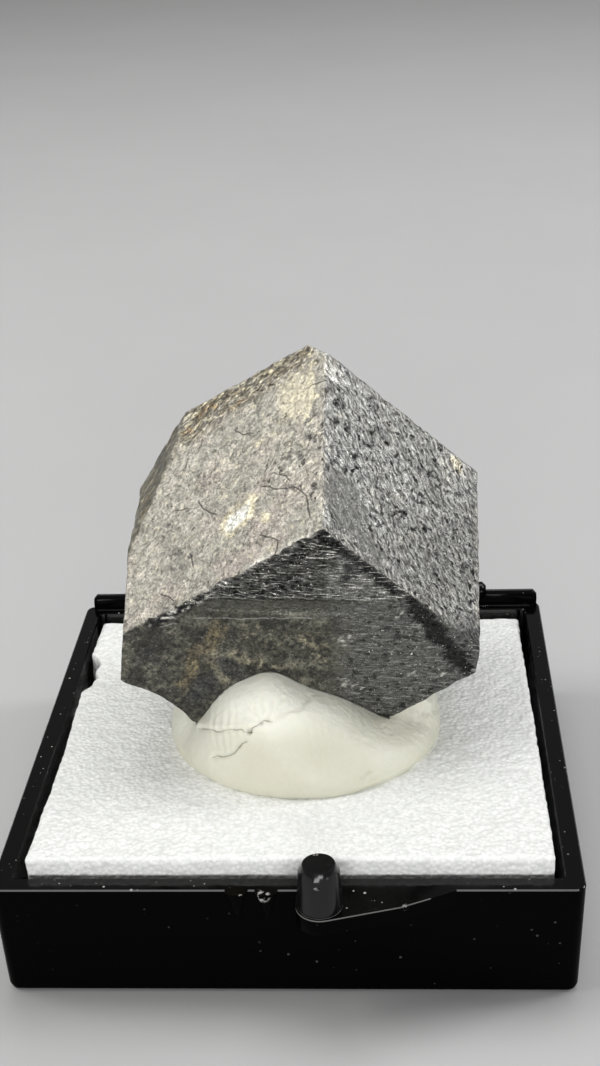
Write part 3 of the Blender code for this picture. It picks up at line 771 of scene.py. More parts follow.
def right_tone(u, v):
    """Mid steel grey, white at the top and darker towards its lowest corner."""
    warp = 0.25 * layered(124, (u / 0.5, v / 0.5), 3)
    return tinted(
        STEEL_GREY,
        (PALE_COAT, 0.35 * clumps(121, u, v, 0.8, 0.4, 0.2, 0.8)),
        (1.5 * DARK_GREY, 0.5 * clumps(122, u, v, 1.2, 0.6, 0.1, 0.7)),
        (1.6 * DARK_GREY, 0.95 * right_calm(u, v)),
        (1.7 * DARK_GREY, 0.55 * ramp(-u, -1.0, 4.0)),
        # Painted shade: the pits are painted black.
        (BLACK, 0.9 * spots(u, v, RIGHT_PITS)),
        (BLACK, 0.75 * ramp(-u + 0.4 * v, 7.4, 9.2)),
        (CHALK, 0.9 * blot(u + warp, v + warp, (8.4, 0.2), (1.0, 0.55), 35)),
        (CREAM, 0.7 * blot(u + warp, v, (0.3, -6.0), (0.45, 0.4))))


def even_tone(colour, second, seed, flecks=0.0):
    """One colour clouded with a second one, and pale and rusty flecks where they are asked for."""
    def tone(u, v):
        return tinted(
            colour,
            (second, 0.7 * ramp(layered(seed, (u / 1.5, v / 0.8), 3), -0.1, 0.7)),
            (CREAM, flecks * clumps(seed + 60, u, v, 0.3, 0.22, 0.25, 0.6)),
            (RUST, flecks * clumps(seed + 90, u, v, 0.5, 0.4, 0.5, 0.75)),
            (DARK_GREY, 0.9 * flecks * clumps(seed + 120, u, v, 0.4, 0.3, 0.35, 0.7)))
    return tone


# ---- finish of the crystal's faces ----

def channels(*values):
    return np.stack([np.broadcast_to(value, values[0].shape) for value in values], axis=1)


def even(*values):
    """The same finish all over a face."""
    return lambda u, v: np.tile(np.array(values), (len(u), 1))


def front_finish(u, v):
    """Deeply grained and bright above the band, fine and calm at the lower right."""
    rough = front_rough(u, v, 0.4)
    right = ramp(u, 0.5, 3.5)
    crust = (1 - ramp(u, 0.0, 2.5)) * (1 - ramp(v, 0.2, 0.9))
    pits = np.maximum(np.maximum(rough, 0.7 * right) * (1 - 0.7 * crust), 0.35 * crust)
    shine = 0.6 + 0.3 * np.maximum(rough, front_belts(u, v))
    return channels(shine, 0.5 + 0.9 * rough - 0.25 * crust, pits)


def front_wear(u, v):
    streaky = blot(u, v, (0.7, 4.7), (1.5, 1.2), -30)
    above = above_band(u, v)
    right = ramp(u, 0.5, 3.5) * (1 - front_belts(u, v))
    crust = (1 - ramp(u, 0.5, 2.5)) * (1 - ramp(v, 0.5, 1.0))
    lining = np.clip(0.7 * above + 0.8 * above * streaky + 0.25 * right, 0, 1)
    return channels(0.12 * crust, lining, crust)


def left_finish(u, v):
    return channels(0.42 + 0 * u, 0.24 + 0.3 * by_front_edge(u, v), 0.4 + 0.5 * by_front_edge(u, v))


def right_finish(u, v):
    calm = right_calm(u, v)
    return channels(0.72 + 0 * u, 1.5 - 0.95 * calm, 1.1 - 0.9 * calm)


PLAIN = (even(0.6, 0.8, 0.6), even(0.4, 0.3, 0.3))


def grown(number, colour, second):
    """The surface of a grown face that is seldom looked at."""
    return plain_relief(50 + 3 * number), even_tone(colour, second, 131 + number), *PLAIN


def broken(seed, depth, *tone, looks=PLAIN):
    """The surface of a broken or worn face."""
    return broken_relief(seed, depth), even_tone(*tone), *looks


# Each face has its direction, its distance from the middle, its relief, its tone, its finish (bare
# metal shine, strength of the strokes and of the pits) and its wear (strength of the hairline cracks,
# of the long fine lines and of the dull crust).
FACES = {
    "front": ((0, -1, 0), 9.19, front_relief, front_tone, front_finish, front_wear),
    "right": ((1, -0.02, 0), 10.13, *grown(0, DARK_GREY, STEEL_GREY)),
    "back": ((0, 1, 0), 6.6, *grown(1, STEEL_GREY, DARK_GREY)),
    "left": ((-1, 0, 0), 10.6, *grown(2, DARK_GREY, OLIVE)),
    "top front left": ((-0.5, -0.5, SLOPE), 9.19, left_relief, left_tone, left_finish,
                       even(1.0, 0.0, 0.25)),
    "top front right": ((0.5, -0.5, SLOPE), 9.19, right_relief, right_tone, right_finish,
                        even(0.1, 0.15, 0.1)),
    "top back right": ((0.5, 0.5, SLOPE), 9.51, *grown(3, STEEL_GREY, DARK_GREY)),
    "top back left": ((-0.5, 0.5, SLOPE), 10.43, *grown(4, BEIGE_COAT, STEEL_GREY)),
    "foot back right": ((0.5, 0.5, -SLOPE), 6.2, *grown(5, DARK_GREY, OLIVE)),
    "foot back left": ((-0.5, 0.5, -SLOPE), 6.2, *grown(6, DARK_GREY, OLIVE)),
    "worn tip": ((0.12, 0.1, 0.987), 12.87, *broken(70, 0.06, CHALK, BEIGE_COAT, 148, 0.3)),
    "worn top left edge": ((-0.569, -0.31, 0.762), 9.97, *broken(
        71, 0.17, WORN, BEIGE_COAT, 138, 0.6, looks=(even(0.35, 1.3, 0.8), even(0.6, 0.0, 0.6)))),
    "chipped left edge": ((-0.886, -0.05, 0.46), 10.48, *broken(
        74, 0.09, 1.6 * OLIVE, WORN, 139, 0.35, looks=(even(0.5, 0.5, 0.3), PLAIN[1]))),
    "broken left side": ((-0.992, 0.1, -0.072), 9.91, *broken(77, 0.16, DARK_GREY, OLIVE, 140)),
    "broken left shoulder": ((-0.86, 0.38, 0.34), 10.16, *broken(
        80, 0.14, WORN, DARK_GREY, 141, 0.4)),
    "broken right foot": ((0.612, -0.105, -0.784), 8.8, *broken(83, 0.12, DARK_GREY, OLIVE, 142)),
    "broken left foot": ((-0.514, -0.021, -0.857), 9.25, *broken(86, 0.1, OLIVE, DARK_GREY, 143)),
    "broken base": ((0, 0, -1), 7.9, *broken(92, 0.18, DARK_GREY, OLIVE, 145)),
}
FACE_AXES = [face_axes(direction) for direction, *_ in FACES.values()]
LEFT_CRACKS = (
    ((0.6, -1.4), (0.82, -1.85), (0.86, -2.38), (1.17, -2.91), (1.4, -3.3)),
    ((1.64, -1.61), (1.71, -1.94), (1.77, -2.46), (1.65, -2.74)),
    ((-1.91, 1.72), (-2.08, 1.18), (-2.13, 0.55), (-2.1, 0.18)),
    ((-1.91, -3.15), (-1.84, -3.48), (-1.66, -4.38), (-2.18, -4.67), (-2.73, -4.89)),
    ((1.49, -3.33), (1.4, -3.86), (1.31, -4.39), (0.6, -5.0), (0.3, -5.41)),
    ((-7.53, 0.25), (-7.43, -0.28), (-7.53, -0.75)),
    ((-4.77, 0.06), (-5.3, -0.56)),
    ((-2.96, 2.71), (-2.56, 2.21)),
    ((7.28, -0.3), (7.6, -0.62), (7.84, -0.92), (8.1, -1.1)),
    ((2.86, 2.44), (2.86, 1.84), (3.18, 1.3)))
BAND_LINES = (
    ((-6.48, 1.61), (-2.5, 1.95), (-0.05, 2.11)),
    ((-6.8, 0.3), (-3.77, 0.48), (-0.05, 0.81)),
    ((-8.41, -0.39), (-7.6, -0.09)))
# The lines drawn on a face, and whether they are pale.
LINES = {"top front left": (LEFT_CRACKS, 0.0), "front": (BAND_LINES, 1.0)}


def line_places(u, v, lines, pale):
    """Offset to one side of the nearest of the lines, distance from it, and whether it is pale."""
    u = u + 0.06 * streaks(158, u, v, 0.3, 0.3)
    v = v + 0.06 * streaks(159, u, v, 0.3, 0.3)
    gap, side = np.ones(u.shape), np.ones(u.shape)
    for line in lines:
        for (x0, y0), (x1, y1) in zip(line, line[1:]):
            length = math.hypot(x1 - x0, y1 - y0)
            along = ((u - x0) * (x1 - x0) + (v - y0) * (y1 - y0)) / length
            off = ((x1 - x0) * (v - y0) - (y1 - y0) * (u - x0)) / length
            near = np.hypot(off, along - np.clip(along, 0, length))
            side = np.where(near < gap, np.copysign(near, off), side)
            gap = np.minimum(gap, near)
    return channels(0.5 + np.clip(side, -0.5, 0.5), gap, pale)


# ---- crystal ----

EDGE_BLEND = 0.05
EDGE_WEAR = 0.055
EDGE_WIDTH = 0.28
CARVE_REACH = 0.6
HOLLOW_DEPTH = 0.15
CARVE_STEPS = 3


def face_share(points):
    """How far each point is outside each face, and how much each face shapes it."""
    outwards = np.array([axes[2] for axes in FACE_AXES])
    distances = np.array([distance for _, distance, *_ in FACES.values()])
    reach = points @ outwards.T - distances
    weight = np.exp((reach - reach.max(axis=1, keepdims=True)) / EDGE_BLEND)
    return outwards, reach, weight / weight.sum(axis=1, keepdims=True)


def carve_faces(points):
    """Move the points of each face in and out by its relief, and wear the edges."""
    outwards, reach, _ = face_share(points)
    heights = np.zeros(reach.shape)
    for index, (face, (along, across, _)) in enumerate(zip(FACES.values(), FACE_AXES)):
        close = reach[:, index] > -CARVE_REACH
        heights[close, index] = face[2](points[close] @ along, points[close] @ across)
    ordered = np.sort(reach, axis=1)
    edge = np.exp(-((ordered[:, -1] - ordered[:, -2]) / EDGE_WIDTH) ** 2)
    chips = 0.5 + 0.5 * noise(95, *(points / 0.55).T) + 0.5 * noise(96, *(points / 0.25).T)
    wear = EDGE_WEAR * edge * np.clip(chips, 0, 1.2)
    inside_hollow = ordered[:, -1] < -HOLLOW_DEPTH
    moved = points.copy()
    for _ in range(CARVE_STEPS):
        _, reach, weight = face_share(moved)
        step = reach - heights + wear[:, None]
        moved = moved - np.where(inside_hollow[:, None], 0.0, (weight * step) @ outwards)
    return moved, inside_hollow, edge


def paint_crystal(crystal, points, inside_hollow, edge):
    """Give every point its tone and finish, and every face its grain direction as a UV map."""
    _, reach, weight = face_share(points)
    tone, finish, wear = np.zeros((3, len(points), 3))
    lines = np.tile((1.0, 1.0, 0.0), (len(points), 1))
    for index, ((name, face), (along, across, _)) in enumerate(zip(FACES.items(), FACE_AXES)):
        used = weight[:, index] > 0.01
        share = weight[used, index][:, None]
        u, v = points[used] @ along, points[used] @ across
        for values, surface in zip((tone, finish, wear), face[3:]):
            values[used] += share * surface(u, v)
        if name in LINES:
            lines[used] = line_places(u, v, *LINES[name])
    # Painted shade: the inside of the foot's hollow is painted a darker grey.
    tone[inside_hollow] = 0.7 * DARK_GREY
    # Painted highlight: the edges of the lighter faces are painted pale in patches.
    painted_highlight = edge * ramp(noise(99, *(points / 0.3).T), -0.2, 0.5)
    tone = tinted(tone, (PALE_COAT, 0.45 * painted_highlight * (1 - inside_hollow) * (tone.max(axis=1) > 0.1)))
    for name, values in (("tone", tone), ("finish", finish), ("wear", wear), ("lines", lines)):
        write_colours(crystal, name, values)
    lay_grain_map(crystal, points, reach)


def lay_grain_map(crystal, points, reach):
    """A UV map in millimetres, its U along the grain of the face that each corner is on."""
    mesh = crystal.data
    corners = read(mesh.loops, "vertex_index", kind=np.int32)
    starts = read(mesh.polygons, "loop_start", kind=np.int32)
    totals = read(mesh.polygons, "loop_total", kind=np.int32)
    face = np.repeat(reach[corners[starts]].argmax(axis=1), totals)
    along, across, _ = [np.array(axes)[face] for axes in zip(*FACE_AXES)]
    place = points[corners]
    uv = np.stack(((place * along).sum(axis=1) + 40.0 * face, (place * across).sum(axis=1)), axis=1)
    layer = mesh.uv_layers.new(name="grain")
    layer.data.foreach_set("uv", uv.astype(np.float32).ravel())


def magnetite_finish():
    """Semi-metallic stone with strokes along the grain, pits, fine cracks and dull crust; the strokes
    carry painted light and shade, the pits painted shade, and there are painted glints and sparkles.
    """
    material, shader, place = new_material("magnetite")
    tree = place.tree
    tone = painted(tree, "tone")
    shine, strength, pitting = parts_of("Color", Color=painted(tree, "finish"))
    cracking, lining, crust = parts_of("Color", Color=painted(tree, "wear"))
    side, gap, pale = parts_of("Color", Color=painted(tree, "lines"))
    flat = output(tree, "ShaderNodeUVMap", "UV", {"uv_map": "grain"})
    bend = output(tree, "ShaderNodeTexNoise", "Color", Vector=flat, Scale=1.3, Detail=2.0,
                  Roughness=0.5)
    wavy = vectors("MULTIPLY_ADD", bend, (0.5, 0.5, 0.0), flat)
    strokes = grain(wavy, 1.0, 3.0, 0.65, (2.2, 5.6, 1.0))
    fine = grain(wavy, 1.0, 2.0, 0.6, (5.0, 10.0, 1.0))
    lines = grain(flat, 1.0, 2.0, 0.5, (0.9, 9.0, 1.0))
    mineral = grain(place, 6000.0, 2.0, 0.7)
    clots = grain(place, 2500.0, 5.0, 0.75)
    # Painted sparkles: fine bright points painted into the colour.
    painted_sparkles = spread(grain(place, 7000.0, 1.0), 0.68, 0.76)
    pits = spread(grain(wavy, 1.0, 2.0, 0.5, (2.0, 2.5, 1.0)), 0.61, 0.67) * pitting

    # Hairline cracks follow the contour lines of a slow noise, in some places only.
    cracks = spread(abs(grain(flat, 0.85, 5.0, 0.62) - 0.5), 0.0, 0.006, 1.0, 0.0)
    cracks = cracks * spread(grain(flat, 0.7, 2.0), 0.48, 0.56)
    wrinkles = spread(abs(strokes - 0.47), 0.0, 0.02, 1.0, 0.0)
    cracks = (cracks + wrinkles * 0.15) * cracking
    thin = spread(abs(side - 0.5), 0.018, 0.06, 1.0, 0.0) * spread(gap, 0.1, 0.16, 1.0, 0.0)
    pale_lines = thin * pale
    cracks = most(cracks, (thin - pale_lines) * spread(fine, 0.3, 0.5, 0.4, 1.0))

    level = (strokes + fine * 0.4) * strength + lines * (lining * 0.8) - pits * 0.6 - cracks * 0.25
    level = level + mineral * 0.22 + clots * (crust * 2.0)

    # Painted light and shade: the strokes are painted lighter and darker, and the pits are painted
    # dark as painted shade; the cracks are dark of their own.
    shade = 1.0 + spread(strokes, 0.36, 0.64, -0.5, 0.85) * strength
    shade = shade * (1.0 - most(pits * 0.88, cracks * 0.75)) * spread(mineral, 0.3, 0.7, 0.78, 1.25)
    clotted = spread(clots, 0.36, 0.64, -0.5, 0.8) + spread(abs(clots - 0.47), 0.0, 0.02, -0.6, 0.0)
    clotted = (clotted + spread(mineral, 0.35, 0.65, -0.3, 0.4)) * crust
    shade = shade * (1.0 + most(clotted, -0.9))
    grey = output(tree, "ShaderNodeCombineColor", 0, Red=shade, Green=shade, Blue=shade)
    # Painted highlights: glints along the fine lines and the pale lines, and sparkles where the face
    # is pitted, are painted pale.
    glints = most(spread(lines, 0.56, 0.66) * (lining * 0.9),
                  pale_lines * spread(fine, 0.35, 0.6, 0.08, 0.4))
    painted_sparkles = maths("MULTIPLY", painted_sparkles, pitting, clamp=True)
    colour = blend(most(glints, painted_sparkles), blend(1.0, tone, grey, "MULTIPLY"), (0.62, 0.61, 0.57))
    give(shader, Base_Color=colour, Metallic=maths("SUBTRACT", shine, crust * 0.5, clamp=True),
         Roughness=spread(fine, 0.35, 0.65, 0.20, 0.40) + crust * 0.25,
         Normal=bump(level, 1.0, 0.00012))
    return material


def build_crystal():
    crystal = crystal_solid("magnetite_crystal")
    use_modifier(crystal, "REMESH", mode="VOXEL", voxel_size=CRYSTAL_VOXEL)
    points = read_points(crystal)
    normals = read_normals(crystal)
    moved, inside_hollow, edge = carve_faces(points)
    scoops = 0.1 * layered(97, tuple((points / 1.3).T), 3)
    moved[inside_hollow] += (normals * scoops[:, None])[inside_hollow]
    write_points(crystal, moved)
    paint_crystal(crystal, points, inside_hollow, edge)
    crystal.data.transform(crystal_place())
    complete(crystal, magnetite_finish(), "crystal")


# ---- putty ----

# Folds in the putty: their line, depth, width, and how far the putty stands up above and below.
FOLDS = (
    (((-5.48, -4.64, 10.04), (-4.77, -5.56, 10.47), (-4.12, -6.18, 10.75), (-3.37, -6.57, 11.04),
      (-2.83, -6.74, 11.31), (-2.35, -7.01, 11.32)), 0.10, 0.12, 0.15, 0.0),
    (((-2.35, -7.01, 11.32), (-1.82, -7.04, 11.63), (-1.52, -6.99, 11.86), (-1.24, -6.91, 12.03)),
     0.10, 0.12, 0.08, 0.03),
    (((-1.24, -6.91, 12.03), (-0.68, -6.8, 12.06), (-0.02, -6.31, 12.12), (0.62, -5.49, 12.09),
      (1.04, -4.65, 12.04)), 0.07, 0.25, 0.03, 0.1),
    (((-4.51, -6.63, 9.25), (-3.75, -7.06, 9.7), (-3.26, -7.24, 10.02), (-3.01, -7.23, 10.35),
      (-2.53, -7.28, 10.76)), 0.09, 0.12, 0.08, 0.02),
    (((-3.26, -7.24, 10.02), (-3.01, -7.22, 10.37)), 0.07, 0.06, 0.0, 0.0),
    (((3.89, -7.73, 8.6), (4.57, -7.28, 8.63)), 0.08, 0.10, 0.02, 0.02),
    (((-2.07, -6.19, 12.36), (-1.7, -6.7, 12.08), (-1.58, -6.93, 11.89)), 0.07, 0.09, 0.02, 0.03),
    (((-1.61, -5.85, 12.81), (-1.53, -6.46, 12.39), (-1.47, -6.89, 11.99)), 0.06, 0.08, 0.02, 0.03),
    (((-1.03, -6.02, 12.78), (-1.13, -6.52, 12.42), (-1.29, -6.88, 12.05)), 0.08, 0.09, 0.03, 0.03),
    (((-0.49, -5.7, 12.7), (-0.8, -6.37, 12.46), (-1.12, -6.86, 12.1)), 0.06, 0.10, 0.03, 0.03),
    (((-0.04, -5.7, 12.44), (-0.46, -6.42, 12.29), (-0.79, -6.79, 12.12)), 0.05, 0.10, 0.02, 0.03),
    (((-2.53, -6.44, 11.85), (-2.05, -6.74, 11.84), (-1.76, -6.94, 11.79)), 0.05, 0.09, 0.02, 0.03))
FOLD_FOCUS = (-1.41, -6.94, 11.96)
PINCHES = (((-2.29, -7.04, 11.32), 0.15, 0.26), ((-1.58, -6.99, 11.82), 0.12, 0.16))
THUMB_RING = (5.46, -4.2, 9.5)
DRAWN_FOLD = 0.09


def foam_top(y):
    return FOAM_TOP_AT_MIDDLE + FOAM_SLOPE * y


def putty_crest(x, y):
    """Height of the putty's crest: it stays under the arch of the foot in front of the crystal."""
    back = np.full(x.shape, PUTTY_CREST[0][1])
    for (x0, y0), (x1, y1) in zip(PUTTY_CREST, PUTTY_CREST[1:]):
        back += (y1 - y0) * ramp(x, x0, x1)
    places, heights = zip(*PUTTY_FRONT_CREST)
    front = sum(np.interp(x + shift, places, heights) for shift in PUTTY_CREST_SHIFTS)
    front = front / len(PUTTY_CREST_SHIFTS)
    turn_at, turn_slope = PUTTY_CREST_TURN
    return front + (back - front) * ramp(y - turn_at - turn_slope * x, 0.0, PUTTY_CREST_BLEND)


def putty_away(x, y):
    """Distance from the putty's middle: 1 at its edge."""
    return np.hypot((x - PUTTY_CENTRE[0]) / PUTTY_REACH[0], (y - PUTTY_CENTRE[1]) / PUTTY_REACH[1])


def putty_top(x, y):
    dome = np.clip(1.0 - putty_away(x, y) ** 4, 0, 1) ** 0.625
    return foam_top(y) + PUTTY_LIP + putty_crest(x, y) * dome


def putty_lump():
    """A ball pressed into a lump with a rolled lower edge and a flat bottom."""
    deselect_all()
    bpy.ops.mesh.primitive_uv_sphere_add(segments=144, ring_count=96, radius=PUTTY_REACH[0])
    lump = named("mineral_putty")
    points = read_points(lump)
    angle = np.arccos(np.clip(points[:, 2] / PUTTY_REACH[0], -1, 1))
    turn = np.arctan2(points[:, 1], points[:, 0])
    top = angle <= math.pi / 2 + 1e-4
    below = np.clip((angle - math.pi / 2) / (math.pi / 2), 0, 1)
    roll = np.clip(below / 0.2, 0, 1) * math.pi / 2
    rolled = 1.0 - (1 - np.cos(roll)) * 0.3 * PUTTY_LIP / PUTTY_REACH[0]
    share = np.where(top, np.sin(angle) ** 0.6, rolled)
    share = share * np.where(below > 0.2, 1 - np.clip((below - 0.2) / 0.8, 0, 1), 1.0)
    x = PUTTY_CENTRE[0] + PUTTY_REACH[0] * share * np.cos(turn)
    y = PUTTY_CENTRE[1] + PUTTY_REACH[1] * share * np.sin(turn)
    bottom = foam_top(y) - PUTTY_SINK + (PUTTY_LIP + PUTTY_SINK) * (1 - np.sin(roll))
    write_points(lump, np.stack((x, y, np.where(top, putty_top(x, y), bottom)), axis=1))
    return lump


def near_path(points, path):
    """Distance of each point to a line in space, and how far it is above that line."""
    best = np.full(len(points), 1e9)
    rise = np.zeros(len(points))
    for start, end in zip(path, path[1:]):
        start, end = np.array(start), np.array(end)
        run = end - start
        share = np.clip((points - start) @ run / (run @ run), 0, 1)
        offset = points - start - share[:, None] * run
        gap = np.linalg.norm(offset, axis=1)
        rise = np.where(gap < best, offset[:, 2] + 0.4 * offset[:, 1], rise)
        best = np.minimum(best, gap)
    return best, rise


def space_noise(seed, points, size):
    return noise(seed, *(points / size).T)


def ripples(value, spacing):
    return np.sin(2 * math.pi * value / spacing)


def press_putty(points):
    """Finger ridges, folds and soft dents: the height along each normal, and where shade and light are
    painted.
    """
    x, y, z = points.T
    rise = z - foam_top(y)
    front = ramp(-y, 3.0, 4.4)
    height = 0.06 * space_noise(201, points, 2.6) + 0.025 * space_noise(202, points, 1.0)
    height += 0.008 * layered(204, (x / 0.35, y / 0.35, z / 0.35), 2)

    # Finger ridges.
    warp = 0.25 * space_noise(203, points, 1.5)
    varied = 0.7 + 0.9 * space_noise(205, points, 0.9)
    upper_left = blot(x, z, (-3.9, 11.7), (1.3, 1.2)) + blot(x, z, (-4.0, 10.3), (0.8, 0.5))
    upper_right = blot(x, z, (2.7, 10.9), (2.2, 1.0))
    low_right = (1 - ramp(rise, 1.4, 2.4)) * ramp(x, 2.5, 4.5)
    away = putty_away(x, y) * PUTTY_REACH[0]
    upper_left = np.clip(upper_left, 0, 1)
    height += front * 0.036 * varied * ripples(x + 0.15 * z + warp, 0.46) * upper_left
    height += front * 0.024 * varied * ripples(x + 0.2 * z + warp, 0.42) * upper_right
    height += 0.05 * varied * ripples(0.7 * rise + 0.5 * away + 0.5 * warp, 0.42) * low_right

    # Fine creases that spread like a fan over the fold.
    along, up = x - FOLD_FOCUS[0], (z - FOLD_FOCUS[2]) + 0.4 * (y - FOLD_FOCUS[1])
    fan = np.sin(15 * np.arctan2(up, along) + 8 * warp) * np.exp(-(np.hypot(along, up) / 1.3) ** 2)
    height += 0.05 * front * fan * ramp(up, 0.0, 0.3)

    bend = 0.16 * space_noise(206, points, 0.5)
    bent = points + np.stack((bend, 0 * bend, -bend), axis=1)
    uneven = 0.75 + 0.25 * ramp(space_noise(207, points, 0.45), -0.6, 0.5)
    # The folds and pinches are painted darker: painted shade in them.
    painted_shade, nearest, offset = np.zeros(len(points)), np.ones(len(points)), np.ones(len(points))
    for path, depth, width, above, below in FOLDS:
        gap, side = near_path(bent, path)
        if depth >= DRAWN_FOLD:
            offset = np.where(gap < nearest, np.copysign(gap, side), offset)
            nearest = np.minimum(gap, nearest)
        cut = uneven * np.exp(-(gap / width) ** 2)
        swell = np.where(side > 0, above, below) * np.exp(-(gap / 0.6) ** 2)
        height += swell * ramp(gap, 0.0, 0.25) - depth * cut
        painted_shade = np.maximum(painted_shade, cut * min(1.0, 5 * depth))
    for place, radius, depth in PINCHES:
        pinch = np.exp(-(np.linalg.norm(points - np.array(place), axis=1) / radius) ** 2)
        height -= depth * pinch
        painted_shade = np.maximum(painted_shade, 2 * pinch)
    ring = np.linalg.norm(points - np.array(THUMB_RING), axis=1)
    height -= 0.04 * np.exp(-((ring - 0.33) / 0.08) ** 2)

    # Painted shade low down and on the lower front middle, and painted light towards the crest.
    front_middle_shade = 0.8 * ramp(-y, 5.0, 7.8) * (1 - ramp(rise, 3.0, 4.2))
    low = np.maximum(1 - ramp(rise, 0.0, 2.4), front_middle_shade)
    fold = channels(0.5 + np.clip(offset, -0.5, 0.5), nearest, ramp(rise, 2.2, 4.8))
    return height, painted_shade, low, fold


def putty_finish():
    """Cream wax with painted shade in its folds and under the crystal's arch, painted shade that is a
    little greener towards the foam, and painted light towards its crest.
    """
    material, shader, place = new_material("mineral putty")
    painted_shade, low, socket_shadow = parts_of("Color", Color=painted(place.tree, "painted_shade"))
    offset, gap, high = parts_of("Color", Color=painted(place.tree, "fold"))
    # Painted shade: a thin dark line along each drawn fold.
    thin = spread(abs(offset - 0.5), 0.012, 0.055, 1.0, 0.0) * spread(gap, 0.14, 0.22, 0.8, 0.0)
    fine = grain(place, 4200.0, 3.0, 0.6)
    patches = spread(grain(place, 260.0, 3.0, 0.5), 0.35, 0.65)
    colour = blend(patches, (0.70, 0.69, 0.575), (0.75, 0.745, 0.645))
    # Painted light towards the crest; painted shade towards the foam, in the folds, along the drawn
    # folds and inside the crystal's arch.
    for share, coat in ((high * 0.9, (0.98, 0.975, 0.865)), (low * 0.45, (0.55, 0.54, 0.42)),
                        (painted_shade * 0.35, (0.25, 0.24, 0.19)), (thin, (0.22, 0.205, 0.15)),
                        (socket_shadow * 0.92, (0.03, 0.028, 0.022))):
        colour = blend(share, colour, coat)
    skin = grain(place, 1.0, 3.0, 0.55, (2600.0, 2600.0, 900.0))
    give(shader, Base_Color=colour, Roughness=spread(fine, 0.3, 0.7, 0.40, 0.58),
         Subsurface_Weight=0.2, Subsurface_Radius=(1.0, 0.85, 0.6), Subsurface_Scale=0.0005,
         Normal=bump(skin + fine * 0.3, 0.8, 0.00009))
    return material


def build_putty():
    lump = putty_lump()
    cut_away(lump, crystal_solid("socket tool", grow=PUTTY_GAP))
    use_modifier(lump, "REMESH", mode="VOXEL", voxel_size=PUTTY_VOXEL)
    points = read_points(lump)
    height, painted_shade, low, fold = press_putty(points)
    write_points(lump, points + read_normals(lump) * height[:, None])
    place = np.array(crystal_place())
    _, reach, _ = face_share((points - place[:3, 3]) @ place[:3, :3])
    # Painted shadow: putty inside the crystal's outline, under its arch, is painted nearly black.
    socket_shadow = 1 - ramp(reach.max(axis=1), -0.02, 0.07)
    write_colours(lump, "painted_shade", np.clip(channels(painted_shade, low, socket_shadow), 0, 1))
    write_colours(lump, "fold", fold)
    complete(lump, putty_finish(), "putty")


# ---- foam block ----

def foam_finish():
    """White foam with painted glints on some of its fine beads and painted shade between them."""
    material, shader, place = new_material("white foam")
    distance = output(place.tree, "ShaderNodeTexVoronoi", "Distance", {"feature": "SMOOTH_F1"},
                      Vector=place, Scale=3700.0, Smoothness=0.5)
    fine = grain(place, 5200.0, 2.0, 0.6)
    patches = spread(grain(place, 700.0, 4.0, 0.7), 0.35, 0.7)
    colour = blend(patches, (0.88, 0.89, 0.87), (0.94, 0.95, 0.93))
    # Painted shade in the hollows between the beads.
    colour = blend(spread(distance, 0.25, 0.75) * 0.65, colour, (0.72, 0.73, 0.715))
    # Painted glints on some beads.
    painted_highlight = most(spread(fine, 0.56, 0.66), specks(place, 3800.0, 0.22, 0.5))
    give(shader, Base_Color=blend(painted_highlight * 0.85, colour, (0.99, 0.995, 0.99)), Roughness=0.55,
         Normal=bump(fine * 0.2 - distance, 0.75, 0.0001))
    return material


def build_foam():
    deselect_all()
    bpy.ops.mesh.primitive_cube_add(size=1.0)
    foam = named("foam_insert")
    for point in foam.data.vertices:
        x, y = [high if side > 0 else low for side, low, high in zip(point.co, FOAM_LOW, FOAM_HIGH)]
        point.co = (x, y, foam_top(y) if point.co.z > 0 else FOAM_LOW[2])
    use_modifier(foam, "BEVEL", width=0.22, segments=3, limit_method="ANGLE")
    use_modifier(foam, "REMESH", mode="VOXEL", voxel_size=FOAM_VOXEL)
    points = read_points(foam)
    x, y, z = points.T
    by_left_wall = ramp(-x, 12.6, 13.6)
    torn = blot(y, z, (6.9, 7.0), (2.2, 3.2)) * by_left_wall
    inwards = 0.045 * space_noise(301, points, 0.42) + 0.03 * space_noise(302, points, 2.0) - 0.05
    moved = points + read_normals(foam) * inwards[:, None]
    moved[:, 0] += torn * (0.7 + 0.15 * streaks(303, y, z, 0.8, 0.8))
    moved[:, 0] -= 0.5 * by_left_wall * ramp(y, -6.0, 12.0)
    write_points(foam, moved)
    complete(foam, foam_finish(), "foam_block")


# ---- box base ----

# Scuffed places on the box, in metres, with their radius.
SCUFFS = (((-0.00124, -0.01635, 0.007), 0.0006), ((-0.0023, -0.0163, 0.0071), 0.00012),
          ((0.00651, -0.01742, 0.0071), 0.0005))
# The fine painted highlight line on top of the ledge: the heights where it begins and ends, and its
# front.
LEDGE_HIGHLIGHT = (0.00700, 0.00704, 0.00711, 0.00713)
LEDGE_FRONT = (-0.01652, -0.01648)
# Half width, front and top of the room inside the walls, in metres.
BOX_INSIDE = (0.0152, -0.0155, 0.0072)
# Shine, roughness and greyness of the box's plastic: its walls, its highlighted edge (a painted
# highlight) and its peg.
BOX_FINISHES = (
    ("black box plastic", 0.02, 0.06, 0.0012), ("black box plastic, rubbed edge", 0.5, 0.25, 0.11),
    ("black box plastic, peg", 0.38, 0.16, 0.004))


